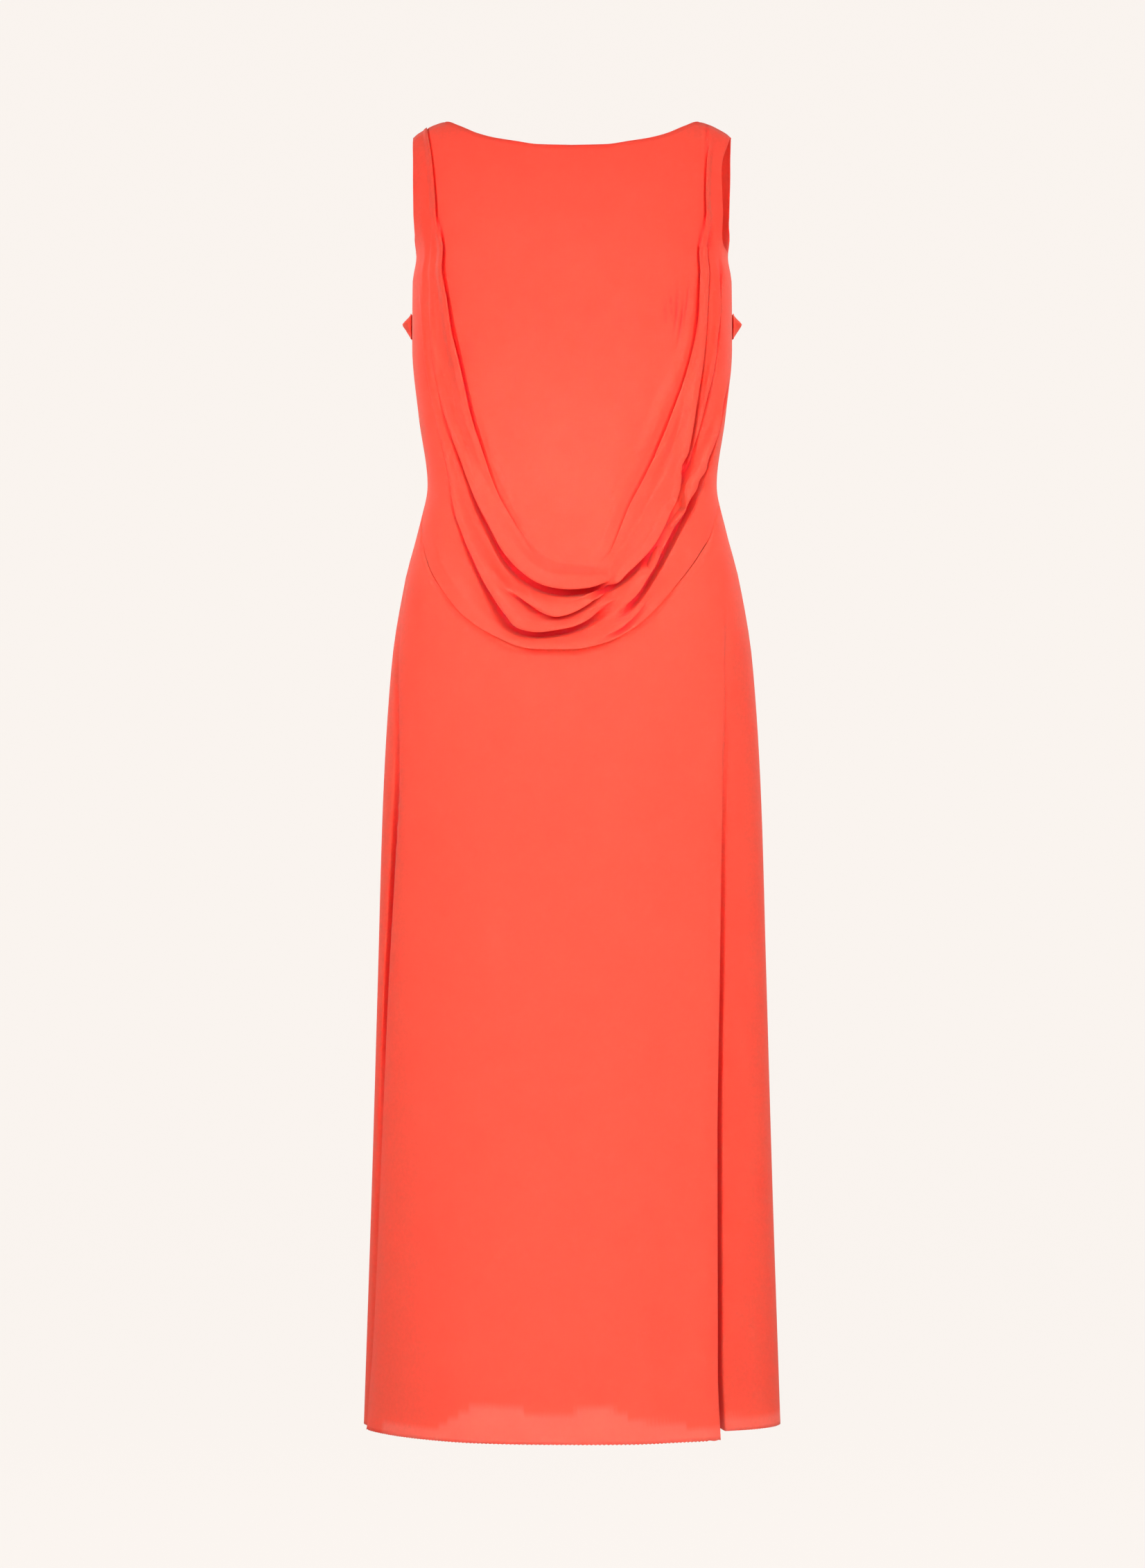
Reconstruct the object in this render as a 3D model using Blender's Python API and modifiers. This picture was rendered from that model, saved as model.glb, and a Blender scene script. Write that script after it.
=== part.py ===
"""Sleeveless evening gown with a boat neck and a deep draped front, worn open and hollow.

The gown hangs from its two shoulder seams.  X runs along the shoulders, the front faces -Y, +Z is
up, and the origin lies midway between the shoulder seams, at their highest points.  The tables
below are in millimetres, and every height in them is a drop: a distance below the shoulders.

Each panel is a sheet laid on one figure.  A place on a sheet is an "arc" (the distance round the
figure from its centre line, 170 mm to the radian) and a drop.  A fold is a table of places along
its edge, with how far it overlaps the cloth behind it and how far it stands out.
"""
import math
from collections import namedtuple

import bmesh
import bpy
import numpy as np

MM = 0.001
COLLECTION_NAME = "evening_gown"

# ---------------------------------------------------------------- driving dimensions (mm)
CLOTH = 1.0              # one layer of crepe jersey, as a wall
SEAM_GAP = 0.6           # between two panels that are sewn edge to edge
HIP_SEAM_GAP = 1.1       # down from the bodice to the skirt; less across the seam where it slopes
LAYER_GAP = 0.5          # between the skirt and the lining inside it
HEM_DROP = 1408.0        # shoulder to hem
ARMHOLE_DROP = 147.0     # shoulder to the bottom of the armhole
WAIST_DROP = 403.0       # shoulder to the waist seam at the sides and back
WAIST_DIP = 6.0          # the waist seam is this much lower at the centre back
NECK_HALF_WIDTH = 139.0  # centre to the neck end of a shoulder seam
SHOULDER_ROUND = 55.0    # radius of the cloth as it turns over the shoulder
NECK_SLOPE = 0.30        # rise of the figure from the shoulder seam towards the neck
ARC_PER_RADIAN = 170.0
SIDE_SEAM = ARC_PER_RADIAN * math.pi / 2

# ---------------------------------------------------------------- the figure, by sections
Section = namedtuple("Section", "drop half_width front back squareness")
FIGURE = (
    Section(0, 178.0, 48, 48, 2.50),
    Section(33, 181.0, 62, 60, 2.50),
    Section(60, 182.0, 76, 72, 2.50),
    Section(100, 180.0, 95, 84, 2.50),
    Section(147, 168.5, 111, 94, 2.40),
    Section(175, 172.5, 119, 97, 2.35),
    Section(243, 173.0, 108, 92, 2.30),
    Section(318, 166.0, 97, 88, 2.30),
    Section(393, 156.4, 90, 84, 2.30),
    Section(438, 165.4, 95, 94, 2.25),
    Section(498, 181.0, 104, 108, 2.20),
    Section(588, 195.4, 114, 120, 2.15),
    Section(738, 204.8, 124, 130, 2.10),
    Section(918, 210.0, 134, 140, 2.10),
    Section(1158, 217.0, 150, 154, 2.10),
    Section(1408, 225.4, 166, 168, 2.10),
)

Edge = namedtuple("Edge", "x drop")
FRONT_TOP = (  # the boat neck, then the shoulder seam from 139 mm outwards
    Edge(0, 33), Edge(36, 32), Edge(61, 28), Edge(82, 24), Edge(101, 18), Edge(123, 7),
    Edge(139, 0), Edge(150, 3), Edge(160, 8), Edge(168, 13), Edge(172, 17),
)

# ---------------------------------------------------------------- folds
FoldPoint = namedtuple("FoldPoint", "x drop overlap stands_out rise")
INNER_FOLD = (  # edge of the drape over the centre panel; it lies open to the centre
    FoldPoint(-156, 3, 0, 2, 14), FoldPoint(-149, 54, 2, 4, 14), FoldPoint(-142, 120, 5, 6, 14),
    FoldPoint(-133, 192, 8, 6, 16), FoldPoint(-122, 253, 8, 7, 20), FoldPoint(-110, 310, 8, 8, 22),
    FoldPoint(-98, 352, 8, 8, 24), FoldPoint(-84, 395, 8, 8, 24), FoldPoint(-64, 434, 6, 7, 22),
    FoldPoint(-46, 466, 3, 5, 16), FoldPoint(-31, 490, 0, 2, 10), FoldPoint(-4, 498, 0, 0, 10),
    FoldPoint(22, 492, 0, 2, 10), FoldPoint(45, 460, 5, 6, 16), FoldPoint(59, 424, 8, 8, 22),
    FoldPoint(77, 389, 8, 8, 24), FoldPoint(98, 341, 8, 8, 22), FoldPoint(115, 296, 8, 8, 20),
    FoldPoint(129, 245, 6, 8, 16), FoldPoint(135, 178, 5, 7, 14), FoldPoint(142, 79, 2, 4, 12),
    FoldPoint(144, 1, 0, 2, 12),
)
MIDDLE_FOLD = (  # the deep roll that hangs from both shoulders to below the hips
    FoldPoint(-163, 4, 0, 0, 10), FoldPoint(-158, 50, 0, 0, 10), FoldPoint(-150, 104, 0, 2, 10),
    FoldPoint(-150, 149, 3, 4, 12), FoldPoint(-152, 207, 5, 6, 14), FoldPoint(-145, 280, 6, 7, 18),
    FoldPoint(-126, 351, 8, 8, 24), FoldPoint(-107, 400, 9, 10, 26), FoldPoint(-86, 445, 10, 13, 26),
    FoldPoint(-66, 480, 12, 16, 24), FoldPoint(-50, 496, 13, 19, 22), FoldPoint(-25, 509, 14, 21, 20),
    FoldPoint(-2, 512, 14, 21, 20), FoldPoint(17, 511, 14, 20, 20), FoldPoint(40, 506, 13, 18, 24),
    FoldPoint(63, 492, 12, 15, 28), FoldPoint(79, 471, 11, 13, 28), FoldPoint(95, 442, 10, 12, 26),
    FoldPoint(107, 408, 10, 11, 24), FoldPoint(119, 379, 9, 10, 20), FoldPoint(127, 338, 8, 9, 18),
    FoldPoint(135, 295, 7, 8, 16), FoldPoint(142, 208, 5, 6, 12), FoldPoint(145, 168, 3, 4, 10),
    FoldPoint(149, 120, 0, 2, 10), FoldPoint(152, 60, 0, 0, 10), FoldPoint(154, 3, 0, 0, 10),
)
OUTER_FOLD = (  # the outer roll, from the left armhole round to the right side seam
    FoldPoint(-167, 152, 0, 0, 10), FoldPoint(-162, 207, 4, 4, 12), FoldPoint(-157, 267, 5, 6, 14),
    FoldPoint(-143, 334, 7, 7, 20), FoldPoint(-129, 399, 8, 8, 24), FoldPoint(-115, 453, 9, 10, 26),
    FoldPoint(-104, 478, 10, 12, 26), FoldPoint(-86, 515, 11, 15, 26), FoldPoint(-71, 540, 12, 17, 26),
    FoldPoint(-55, 551, 12, 18, 26), FoldPoint(-37, 555, 12, 18, 26), FoldPoint(-2, 553, 12, 18, 26),
    FoldPoint(20, 550, 11, 17, 26), FoldPoint(36, 547, 10, 15, 26), FoldPoint(50, 540, 9, 13, 26),
    FoldPoint(69, 516, 10, 13, 26), FoldPoint(92, 475, 11, 13, 26), FoldPoint(109, 441, 11, 13, 26),
    FoldPoint(127, 407, 11, 13, 26), FoldPoint(141, 375, 10, 12, 24), FoldPoint(153, 341, 8, 9, 20),
    FoldPoint(160, 317, 5, 7, 16), FoldPoint(168, 286, 0, 0, 10),
)
FRONT_FOLD_HALF = 3.4    # half the cloth that turns under at a bodice fold, less where it is narrow
LEAST_FOLD_HALF = 1.7
HALVES_BETWEEN_FOLDS = 4.6
FOLD_TO_EDGE = 5.0       # least way from a fold's last place to the panel's edge
FADE_NEAR_EDGE = 8.0     # a fold flattens over this way where it runs out at the panel's edge
SEAM_SETBACK = 4.0       # the last place before the panel's edge, where there is no lip
LIP_UNDER_OUT = 0.35     # height of the lip's hidden side, as a share of lip_out
LIP_UNDER_WAY = 0.6      # where that side lies, as a share of the way back to the seam

# Rays of the front: from the edge of the flat centre panel, across the folds, to the panel's edge.
# A level is a drop, except above the armhole, where 0 is the top edge.  The lip is where the
# lowest roll hangs over the hip seam.
Ray = namedtuple("Ray", "inner_x inner_level outer_x outer_level lip_hang lip_out")
BEYOND = 400.0           # an outer x past the side seam means the side seam itself
FRONT_RAYS = (
    Ray(-122, 0, -172, 0, 0, 0), Ray(-118, 50, -171, 50, 0, 0), Ray(-116, 100, -170, 100, 0, 0),
    Ray(-112, 147, -168.3, 147, 0, 0), Ray(-106, 195, -BEYOND, 200, 0, 0),
    Ray(-96, 248, -BEYOND, 262, 0, 0), Ray(-85, 295, -BEYOND, 325, 0, 0),
    Ray(-75, 333, -BEYOND, 375, 0, 0), Ray(-65, 364, -BEYOND, 403, 0, 0),
    Ray(-57, 386, -160, 421, 0, 0), Ray(-50, 406, -161, 446, 0, 0), Ray(-42, 427, -155, 478, 0, 0),
    Ray(-34, 442, -139, 507, 0, 2), Ray(-26, 453, -112, 538, 1, 6), Ray(-17, 460, -79, 557, 3, 9),
    Ray(-8, 464, -41, 570, 4, 11), Ray(2, 465, 0, 570, 4, 11), Ray(11, 462, 34, 563, 4, 10),
    Ray(20, 455, 64, 548, 3, 8), Ray(27, 445, 92, 524, 1, 5), Ray(34, 430, 118, 495, 0, 1),
    Ray(42, 408, 138, 467, 0, 0), Ray(51, 385, 149, 447, 0, 0), Ray(60, 362, 154, 424, 0, 0),
    Ray(69, 338, BEYOND, 403, 0, 0),
    Ray(80, 308, BEYOND, 358, 0, 0), Ray(93, 272, BEYOND, 308, 0, 0),
    Ray(104, 236, BEYOND, 255, 0, 0), Ray(111, 195, BEYOND, 200, 0, 0),
    Ray(115, 147, 168.3, 147, 0, 0), Ray(117, 100, 161.5, 100, 0, 0),
    Ray(119, 50, 160, 50, 0, 0), Ray(121, 0, 171, 0, 0, 0),
)
CORNER = 11              # rays from either shoulder to the lower corners of the centre panel

SkirtFold = namedtuple("SkirtFold", "drop x overlap stands_out sink")
RIGHT_SKIRT_FOLD = (  # the front stops at this edge and the side of the skirt lies behind it
    SkirtFold(540, 161, 0, 0, 0), SkirtFold(620, 163, 0, 2, 10), SkirtFold(760, 160, 2, 3, 24),
    SkirtFold(914, 158, 5, 4, 38), SkirtFold(1101, 155, 7, 4, 50), SkirtFold(1335, 155, 9, 4, 62),
    SkirtFold(1408, 158, 9, 4, 65),
)
LEFT_SKIRT_FOLD = (
    SkirtFold(500, 178, 0, 0, 0), SkirtFold(589, 186, 0, 1, 6), SkirtFold(698, 185, 2, 2, 13),
    SkirtFold(793, 189, 4, 2, 18), SkirtFold(916, 196, 5, 2, 20), SkirtFold(1105, 204, 5, 2, 20),
    SkirtFold(1310, 213, 5, 2, 16), SkirtFold(1408, 221, 4, 2, 11),
)
SKIRT_FOLD_HALF = 7.0
SKIRT_FOLD_RISE = 46.0
LEAST_SIDE = 34.0        # cloth left between a skirt fold and the side seam
SIDE_FADE = 8.0          # the sunk side ends this far past the seam
BEFORE_FOLD = (0, 0.2, 0.42, 0.64, 0.84)   # shares of the way from the centre to the fold
PAST_FOLD = (0.4, 0.85, 1.0)               # shares of the way from the fold to the side seam
WIDE_GAPS = (3, 4, 5, 7)                   # gaps between seam columns that get one more

BACK_INNER_ARC, BACK_INNER_COLUMNS = 235.0, 19   # evenly spaced columns of the skirt back
SEAM_COLUMN = 9.0        # from the side seam to the column next to it
BackFlare = namedtuple("BackFlare", "x width starts stands_out")
BACK_FLARES = (  # soft ridges of the skirt back, fullest at the hem
    BackFlare(-128, 30, 560, 11), BackFlare(-34, 38, 640, 8), BackFlare(62, 30, 600, 12),
    BackFlare(142, 26, 700, 8),
)

# Rays of the back: from the scooped neck edge to the armhole, side seam and waist seam.
BackRay = namedtuple("BackRay", "inner_x inner_drop outer_x outer_drop")
BACK_RAYS = (
    BackRay(139, 0, 172, 17), BackRay(138.5, 14, 171, 27), BackRay(138, 32, 170, 43),
    BackRay(136, 62, 168, 70), BackRay(133, 100, 166, 104), BackRay(128, 134, 168.2, 147),
    BackRay(121, 166, BEYOND, 180), BackRay(112, 198, BEYOND, 215), BackRay(101, 228, BEYOND, 255),
    BackRay(89, 254, BEYOND, 300), BackRay(76, 274, BEYOND, 350), BackRay(62, 289, BEYOND, 403),
    BackRay(47, 300, 139, 404.5), BackRay(31, 307, 98, 407), BackRay(15, 311, 50, 408.5),
    BackRay(0, 312, 0, 409),
)
BACK_SHARES = np.array((0.0, 0.2, 0.45, 0.7, 0.96, 1.0))   # places along each ray

# The strap across the open back is one cloth folded lengthwise, with its crease outwards.
BAND_TOP, BAND_CREASE, BAND_BOTTOM = 207.0, 217.5, 234.0
BAND_CLEARANCE = 2.0     # from the back panel to the edges of the strap
BAND_CREASE_AT_SIDE = 13.0
BAND_CREASE_AT_BACK = 5.0
BAND_COLUMNS = 25
BAND_BACK_ARC, BAND_SIDE_ARC = 150.0, 240.0   # the crease deepens between these arcs
BandLine = namedtuple("BandLine", "drop share")   # share of the way out to the crease
BAND_LINES = (
    BandLine(BAND_TOP, 0.0), BandLine(211.0, 0.42), BandLine(BAND_CREASE, 1.0),
    BandLine(228.0, 0.42), BandLine(BAND_BOTTOM, 0.0),
)

LiningEdge = namedtuple("LiningEdge", "x drop")
LINING_EDGE = (  # the uneven lower edge of the lining in front
    LiningEdge(-225, 1393), LiningEdge(-160, 1396), LiningEdge(-126, 1384), LiningEdge(-82, 1370),
    LiningEdge(-20, 1381), LiningEdge(34, 1372), LiningEdge(70, 1386), LiningEdge(130, 1392),
    LiningEdge(225, 1391),
)
LINING_TOP_GAP = 3.0     # below the hip seam


# ---------------------------------------------------------------- curves and the figure
def smooth_curve(knots, values):
    """Return a function for a smooth curve through the points that doesn't overshoot them."""
    knots = np.asarray(knots, float)
    values = np.asarray(values, float)
    step = np.diff(knots)
    slope = np.diff(values) / step
    before, after = slope[:-1], slope[1:]
    same_way = before * after > 0
    total = np.where(same_way, before + after, 1.0)
    tangent = np.concatenate((slope[:1], np.where(same_way, 2 * before * after / total, 0.0), slope[-1:]))

    def curve(at):
        at = np.clip(at, knots[0], knots[-1])
        i = np.clip(np.searchsorted(knots, at, side="right") - 1, 0, len(step) - 1)
        t = (at - knots[i]) / step[i]
        start, end = values[i], values[i + 1]
        rise_in, rise_out = tangent[i] * step[i], tangent[i + 1] * step[i]
        return ((2 * t**3 - 3 * t**2 + 1) * start + (t**3 - 2 * t**2 + t) * rise_in
                + (3 * t**2 - 2 * t**3) * end + (t**3 - t**2) * rise_out)

    return curve


def column(rows, key, name):
    """A smooth curve of one named column of a table against another."""
    return smooth_curve([getattr(row, key) for row in rows], [getattr(row, name) for row in rows])


def ease(t):
    t = np.clip(t, 0.0, 1.0)
    return t * t * (3 - 2 * t)


half_width = column(FIGURE, "drop", "half_width")
front_depth = column(FIGURE, "drop", "front")
back_depth = column(FIGURE, "drop", "back")
squareness = column(FIGURE, "drop", "squareness")
front_top = column(FRONT_TOP, "x", "drop")


def shoulder_line(x):
    """Drop of the shoulder at x; towards the neck the figure rises above the seam."""
    x = np.abs(x)
    return np.where(x < NECK_HALF_WIDTH, (x - NECK_HALF_WIDTH) * NECK_SLOPE, front_top(x))


def figure_point(arc, drop, facing):
    """Point of the figure; facing is -1 for the front and +1 for the back."""
    sine = np.sin(arc / ARC_PER_RADIAN)
    power = squareness(drop)
    x = half_width(drop) * sine
    depth = front_depth(drop) if facing < 0 else back_depth(drop)
    depth = depth * np.maximum(1 - np.abs(sine) ** power, 0) ** (1 / power)
    turn = np.clip((drop - shoulder_line(x)) / SHOULDER_ROUND, 0, 1)
    return np.stack((x, facing * depth * np.sqrt(1 - (1 - turn) ** 2), -drop), axis=-1)


def figure_normal(arc, drop, facing):
    """Outward normal of the figure; on the side seam it points straight sideways."""
    reach = 1.5
    after = np.minimum(arc + reach, SIDE_SEAM)
    before = np.maximum(arc - reach, -SIDE_SEAM)
    across = figure_point(after, drop, facing) - figure_point(before, drop, facing)
    down = figure_point(arc, drop + reach, facing) - figure_point(arc, drop, facing)
    normal = np.cross(across, down) * facing
    at_side = np.abs(arc) > SIDE_SEAM - 1
    normal[..., 1] = np.where(at_side, 0.0, normal[..., 1])
    normal[..., 0] = np.where(at_side, np.sign(arc) * np.abs(normal[..., 0]), normal[..., 0])
    return normal / np.linalg.norm(normal, axis=-1, keepdims=True)


def arc_of(x, drop, out=0.0):
    """Arc of the place that shows at x from the front when it stands out from the figure."""
    return ARC_PER_RADIAN * np.arcsin(np.clip(x / (half_width(drop) + out), -1, 1))


def front_top_at(arc):
    x = half_width(20) * np.sin(arc / ARC_PER_RADIAN)
    return front_top(np.abs(x))


def drop_of_level(arc, level):
    """Levels follow the top edge near the top and are plain drops below the armhole."""
    top = front_top_at(arc)
    return np.where(level < ARMHOLE_DROP, top + level * (ARMHOLE_DROP - top) / ARMHOLE_DROP, level)


def level_of_drop(arc, drop):
    top = front_top_at(arc)
    return np.where(drop < ARMHOLE_DROP, (drop - top) * ARMHOLE_DROP / (ARMHOLE_DROP - top), drop)


def seam_side(points, facing):
    """Keep a panel on its own side of the plane through the shoulder and side seams."""
    points[..., 1] = facing * np.maximum(facing * points[..., 1], SEAM_GAP / 2)
    return points


# ---------------------------------------------------------------- folds as a change of place
KERNEL_REACH = 2.2
KERNEL_SCALE = 1.588     # makes the greatest shift equal 1
CROSSING_SLACK = 6.0     # how far past its ends a ray may still meet a fold


def turn_under(q):
    """Sideways shift across a fold: forwards before it, backwards after it."""
    inside = np.clip(1 - (q / KERNEL_REACH) ** 2, 0, 1)
    return -KERNEL_SCALE * q * inside**2


class Fold:
    """One folded edge: half is half the cloth that turns under, facing +1 lies over what is
    further out, and -1 lies over what is further in."""

    def __init__(self, half, facing):
        self.half = half
        self.facing = facing

    def shifts(self, across, edge, overlap, stands_out, rise, sink=0.0, fade=60.0):
        """Sideways shift and height of the cloth at each place across the fold."""
        amount = ease((overlap + 1.0) / 3.0) * np.minimum(overlap, 1.0)
        shift = amount * (self.half + overlap / 2)
        centre = self.centre(edge, overlap)
        q = (across - centre) / self.half
        side = q * self.facing
        turned = 0.5 + 0.5 * np.sin(np.clip(side / 1.2, -1, 1) * math.pi / 2)
        climbed = ease((side * self.half + rise + 1.2 * self.half) / np.maximum(rise, 1.0))
        height = stands_out * climbed * (1 - turned)
        past = across - centre - self.half
        height = height - sink * turned * (1 - ease(past / fade))
        return shift * turn_under(q), height

    def centre(self, edge, overlap):
        amount = ease((overlap + 1.0) / 3.0) * np.minimum(overlap, 1.0)
        return edge + self.facing * (self.half - amount * (self.half + overlap / 2))


class FoldPath:
    """The edge of a bodice fold as a smooth line through its table's points."""

    def __init__(self, rows):
        x = np.array([row.x for row in rows], float)
        drop = np.array([row.drop for row in rows], float)
        out = np.array([row.stands_out for row in rows], float)
        arc = arc_of(x, drop, out)
        level = level_of_drop(arc, drop)
        length = np.concatenate(([0.0], np.cumsum(np.hypot(np.diff(arc), np.diff(level)))))
        at = np.linspace(0, length[-1], 400)
        self.arc = smooth_curve(length, arc)(at)
        self.level = smooth_curve(length, level)(at)
        names = ("overlap", "stands_out", "rise")
        self.columns = {name: column_at(rows, name, length)(at) for name in names}

    def crossing(self, start, end):
        """Distance along the ray and the fold's sizes where they cross, or None."""
        along = end - start
        reach = np.hypot(*along)
        along = along / reach
        offset = np.stack((self.arc - start[0], self.level - start[1]), axis=-1)
        beside = offset @ np.array((-along[1], along[0]))
        ahead = offset @ along
        crosses = beside[:-1] * beside[1:] <= 0
        in_reach = (ahead[:-1] > -CROSSING_SLACK) & (ahead[:-1] < reach + CROSSING_SLACK)
        changes = np.nonzero(crosses & in_reach)[0]
        if len(changes) == 0:
            return None
        i = changes[np.argmin(ahead[changes])]
        t = beside[i] / (beside[i] - beside[i + 1]) if beside[i] != beside[i + 1] else 0.0
        sizes = {name: values[i] + (values[i + 1] - values[i]) * t for name, values in self.columns.items()}
        return ahead[i] + (ahead[i + 1] - ahead[i]) * t, sizes


def column_at(rows, name, length):
    return smooth_curve(length, [getattr(row, name) for row in rows])


# ---------------------------------------------------------------- meshes
def new_object(name, points, faces, colour):
    mesh = bpy.data.meshes.new(name)
    mesh.from_pydata([tuple(MM * c for c in point) for point in points], [], faces)
    mesh.validate()
    obj = bpy.data.objects.new(name, mesh)
    obj.data.materials.append(cloth_material(name, colour))
    gown.objects.link(obj)
    return obj


def cloth_material(name, colour):
    material = bpy.data.materials.new(name + "_cloth")
    material.use_nodes = True
    shader = material.node_tree.nodes["Principled BSDF"]
    shader.inputs["Base Color"].default_value = (*colour, 1.0)
    shader.inputs["Roughness"].default_value = 0.75
    shader.inputs["Metallic"].default_value = 0.0
    return material


def thicken(obj):
    """Give an open sheet its thickness, inwards from the face that shows."""
    shell = obj.modifiers.new("thickness", "SOLIDIFY")
    shell.thickness = CLOTH * MM
    shell.offset = -1
    shell.use_even_offset = False


def grid_faces(rows, columns, first=0, flip=False):
    faces = []
    for i in range(rows - 1):
        for j in range(columns - 1):
            corner = first + i * columns + j
            face = (corner, corner + columns, corner + columns + 1, corner + 1)
            faces.append(face[::-1] if flip else face)
    return faces


# ---------------------------------------------------------------- the draped bodice front
def front_ray(ray, paths):
    """Points of one ray, as arc, level and height, from the centre panel outwards."""
    start = np.array((arc_of(ray.inner_x, drop_of_level(arc_of(ray.inner_x, 150), ray.inner_level)),
                      ray.inner_level))
    guess = drop_of_level(arc_of(ray.outer_x, 150), ray.outer_level)
    end = np.array((arc_of(ray.outer_x, guess), ray.outer_level))
    reach = np.hypot(*(end - start))
    along = (end - start) / reach
    lip = ease(ray.lip_out / 6)
    finish = reach - SEAM_SETBACK * (1 - lip) + ray.lip_hang * lip

    crossings = [path.crossing(start, end) for _, path in paths]
    edges = [found[0] for found in crossings if found]
    closest = min(np.diff(edges + [reach]))
    half = float(np.clip(closest / HALVES_BETWEEN_FOLDS, LEAST_FOLD_HALF, FRONT_FOLD_HALF))
    spacing = 2 * KERNEL_REACH * half + 1
    limit = reach - KERNEL_REACH * half - FOLD_TO_EDGE
    folds = []
    for (facing, _), found in zip(paths[::-1], crossings[::-1]):
        fold = Fold(half, facing)
        centre, sizes = found or (limit, dict(overlap=0.0, stands_out=0.0, rise=10.0))
        sizes["overlap"] = min(sizes["overlap"], 0.8 * sizes["stands_out"])
        centre = fold.centre(centre, sizes["overlap"])
        if centre > limit:
            room = ease(1 - (centre - limit) / FADE_NEAR_EDGE)
            sizes = dict(sizes, overlap=sizes["overlap"] * room, stands_out=sizes["stands_out"] * room)
            centre = limit
        folds.insert(0, (fold, centre, sizes))
        limit = centre - spacing
    for (_, before, _), (fold, centre, sizes) in zip(folds[:-1], folds[1:]):
        sizes["rise"] = max(min(sizes["rise"], centre - before - 3.0 * half), 2.0)
    across = [0.0]
    for fold, centre, sizes in folds:
        first = centre - KERNEL_REACH * fold.half
        across.append((across[-1] + first) / 2)
        across.extend(centre + fold.half * q for q in (-KERNEL_REACH, -1, 0, 1, KERNEL_REACH))
    last = across[-1]
    across.extend((last + (finish - last) / 2, finish))
    across = np.array(across)

    place = across.copy()
    height = np.zeros_like(across)
    for fold, centre, sizes in folds:
        edge = centre - (fold.centre(0.0, sizes["overlap"]))
        shift, lift = fold.shifts(across, edge, sizes["overlap"], sizes["stands_out"], sizes["rise"])
        place = place + shift
        height = height + lift
    height = height + ray.lip_out * ease((across - last) / max(finish - last, 1)) * (across > last)
    under = finish + (reach - finish) * LIP_UNDER_WAY
    place = np.append(place, (under, reach))
    height = np.append(height, (ray.lip_out * LIP_UNDER_OUT, 0.0))
    place = np.maximum(place, 0.0)
    return start[0] + along[0] * place, start[1] + along[1] * place, height


def sheet_points(arc, level, height, facing):
    drop = drop_of_level(arc, level)
    points = figure_point(arc, drop, facing) + height[..., None] * figure_normal(arc, drop, facing)
    return seam_side(points, facing)


def bodice_front():
    paths = ((-1, FoldPath(INNER_FOLD)), (1, FoldPath(MIDDLE_FOLD)), (1, FoldPath(OUTER_FOLD)))
    rays = [front_ray(ray, paths) for ray in FRONT_RAYS]
    arc, level, height = (np.array([ray[k] for ray in rays]) for k in range(3))
    folded = sheet_points(arc, level, height, -1)
    count, across = arc.shape

    panel_arc, panel_level = centre_panel(arc[:, 0], level[:, 0])
    panel = sheet_points(panel_arc, panel_level, np.zeros_like(panel_arc), -1)
    down, wide = panel.shape[:2]
    edge = {}
    for i in range(down):
        edge[(i, 0)] = i
        edge[(i, wide - 1)] = count - 1 - i
    for j in range(wide):
        edge[(down - 1, j)] = CORNER + j
    points = [tuple(p) for p in folded.reshape(-1, 3)]
    index = {}
    for i in range(down):
        for j in range(wide):
            if (i, j) in edge:
                index[(i, j)] = edge[(i, j)] * across
            else:
                index[(i, j)] = len(points)
                points.append(tuple(panel[i, j]))
    faces = grid_faces(count, across, flip=True)
    for i in range(down - 1):
        for j in range(wide - 1):
            faces.append((index[(i, j)], index[(i + 1, j)], index[(i + 1, j + 1)], index[(i, j + 1)]))
    obj = new_object("bodice_front", points, faces, (0.85, 0.12, 0.07))
    thicken(obj)


def centre_panel(arc, level):
    """Arcs and levels of the flat panel, blended from its four edges."""
    places = np.stack((arc, level), axis=-1)
    down = CORNER + 1
    wide = len(arc) - 2 * CORNER
    left = places[:down]
    right = places[::-1][:down]
    bottom = places[CORNER:CORNER + wide]
    top = np.stack((np.linspace(left[0, 0], right[0, 0], wide), np.zeros(wide)), axis=-1)
    u = np.linspace(0, 1, wide)[None, :, None]
    v = np.linspace(0, 1, down)[:, None, None]
    sides = (1 - u) * left[:, None, :] + u * right[:, None, :]
    ends = (1 - v) * top[None, :, :] + v * bottom[None, :, :]
    corners = ((1 - u) * (1 - v) * left[0] + u * (1 - v) * right[0]
               + (1 - u) * v * left[-1] + u * v * right[-1])
    blended = sides + ends - corners
    return blended[..., 0], blended[..., 1]


# ---------------------------------------------------------------- the open back and its strap
def bodice_back():
    rows = []
    for side in (-1, 1):
        rays = BACK_RAYS if side < 0 else BACK_RAYS[-2::-1]
        for ray in rays:
            inner = np.array((side * arc_of(ray.inner_x, ray.inner_drop), ray.inner_drop))
            outer = np.array((side * arc_of(ray.outer_x, ray.outer_drop), ray.outer_drop))
            rows.append(inner + BACK_SHARES[:, None] * (outer - inner))
    places = np.array(rows)
    points = seam_side(figure_point(places[..., 0], places[..., 1], 1), 1)
    faces = grid_faces(*places.shape[:2])
    obj = new_object("bodice_back", points.reshape(-1, 3), faces, (0.80, 0.10, 0.06))
    thicken(obj)


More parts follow.
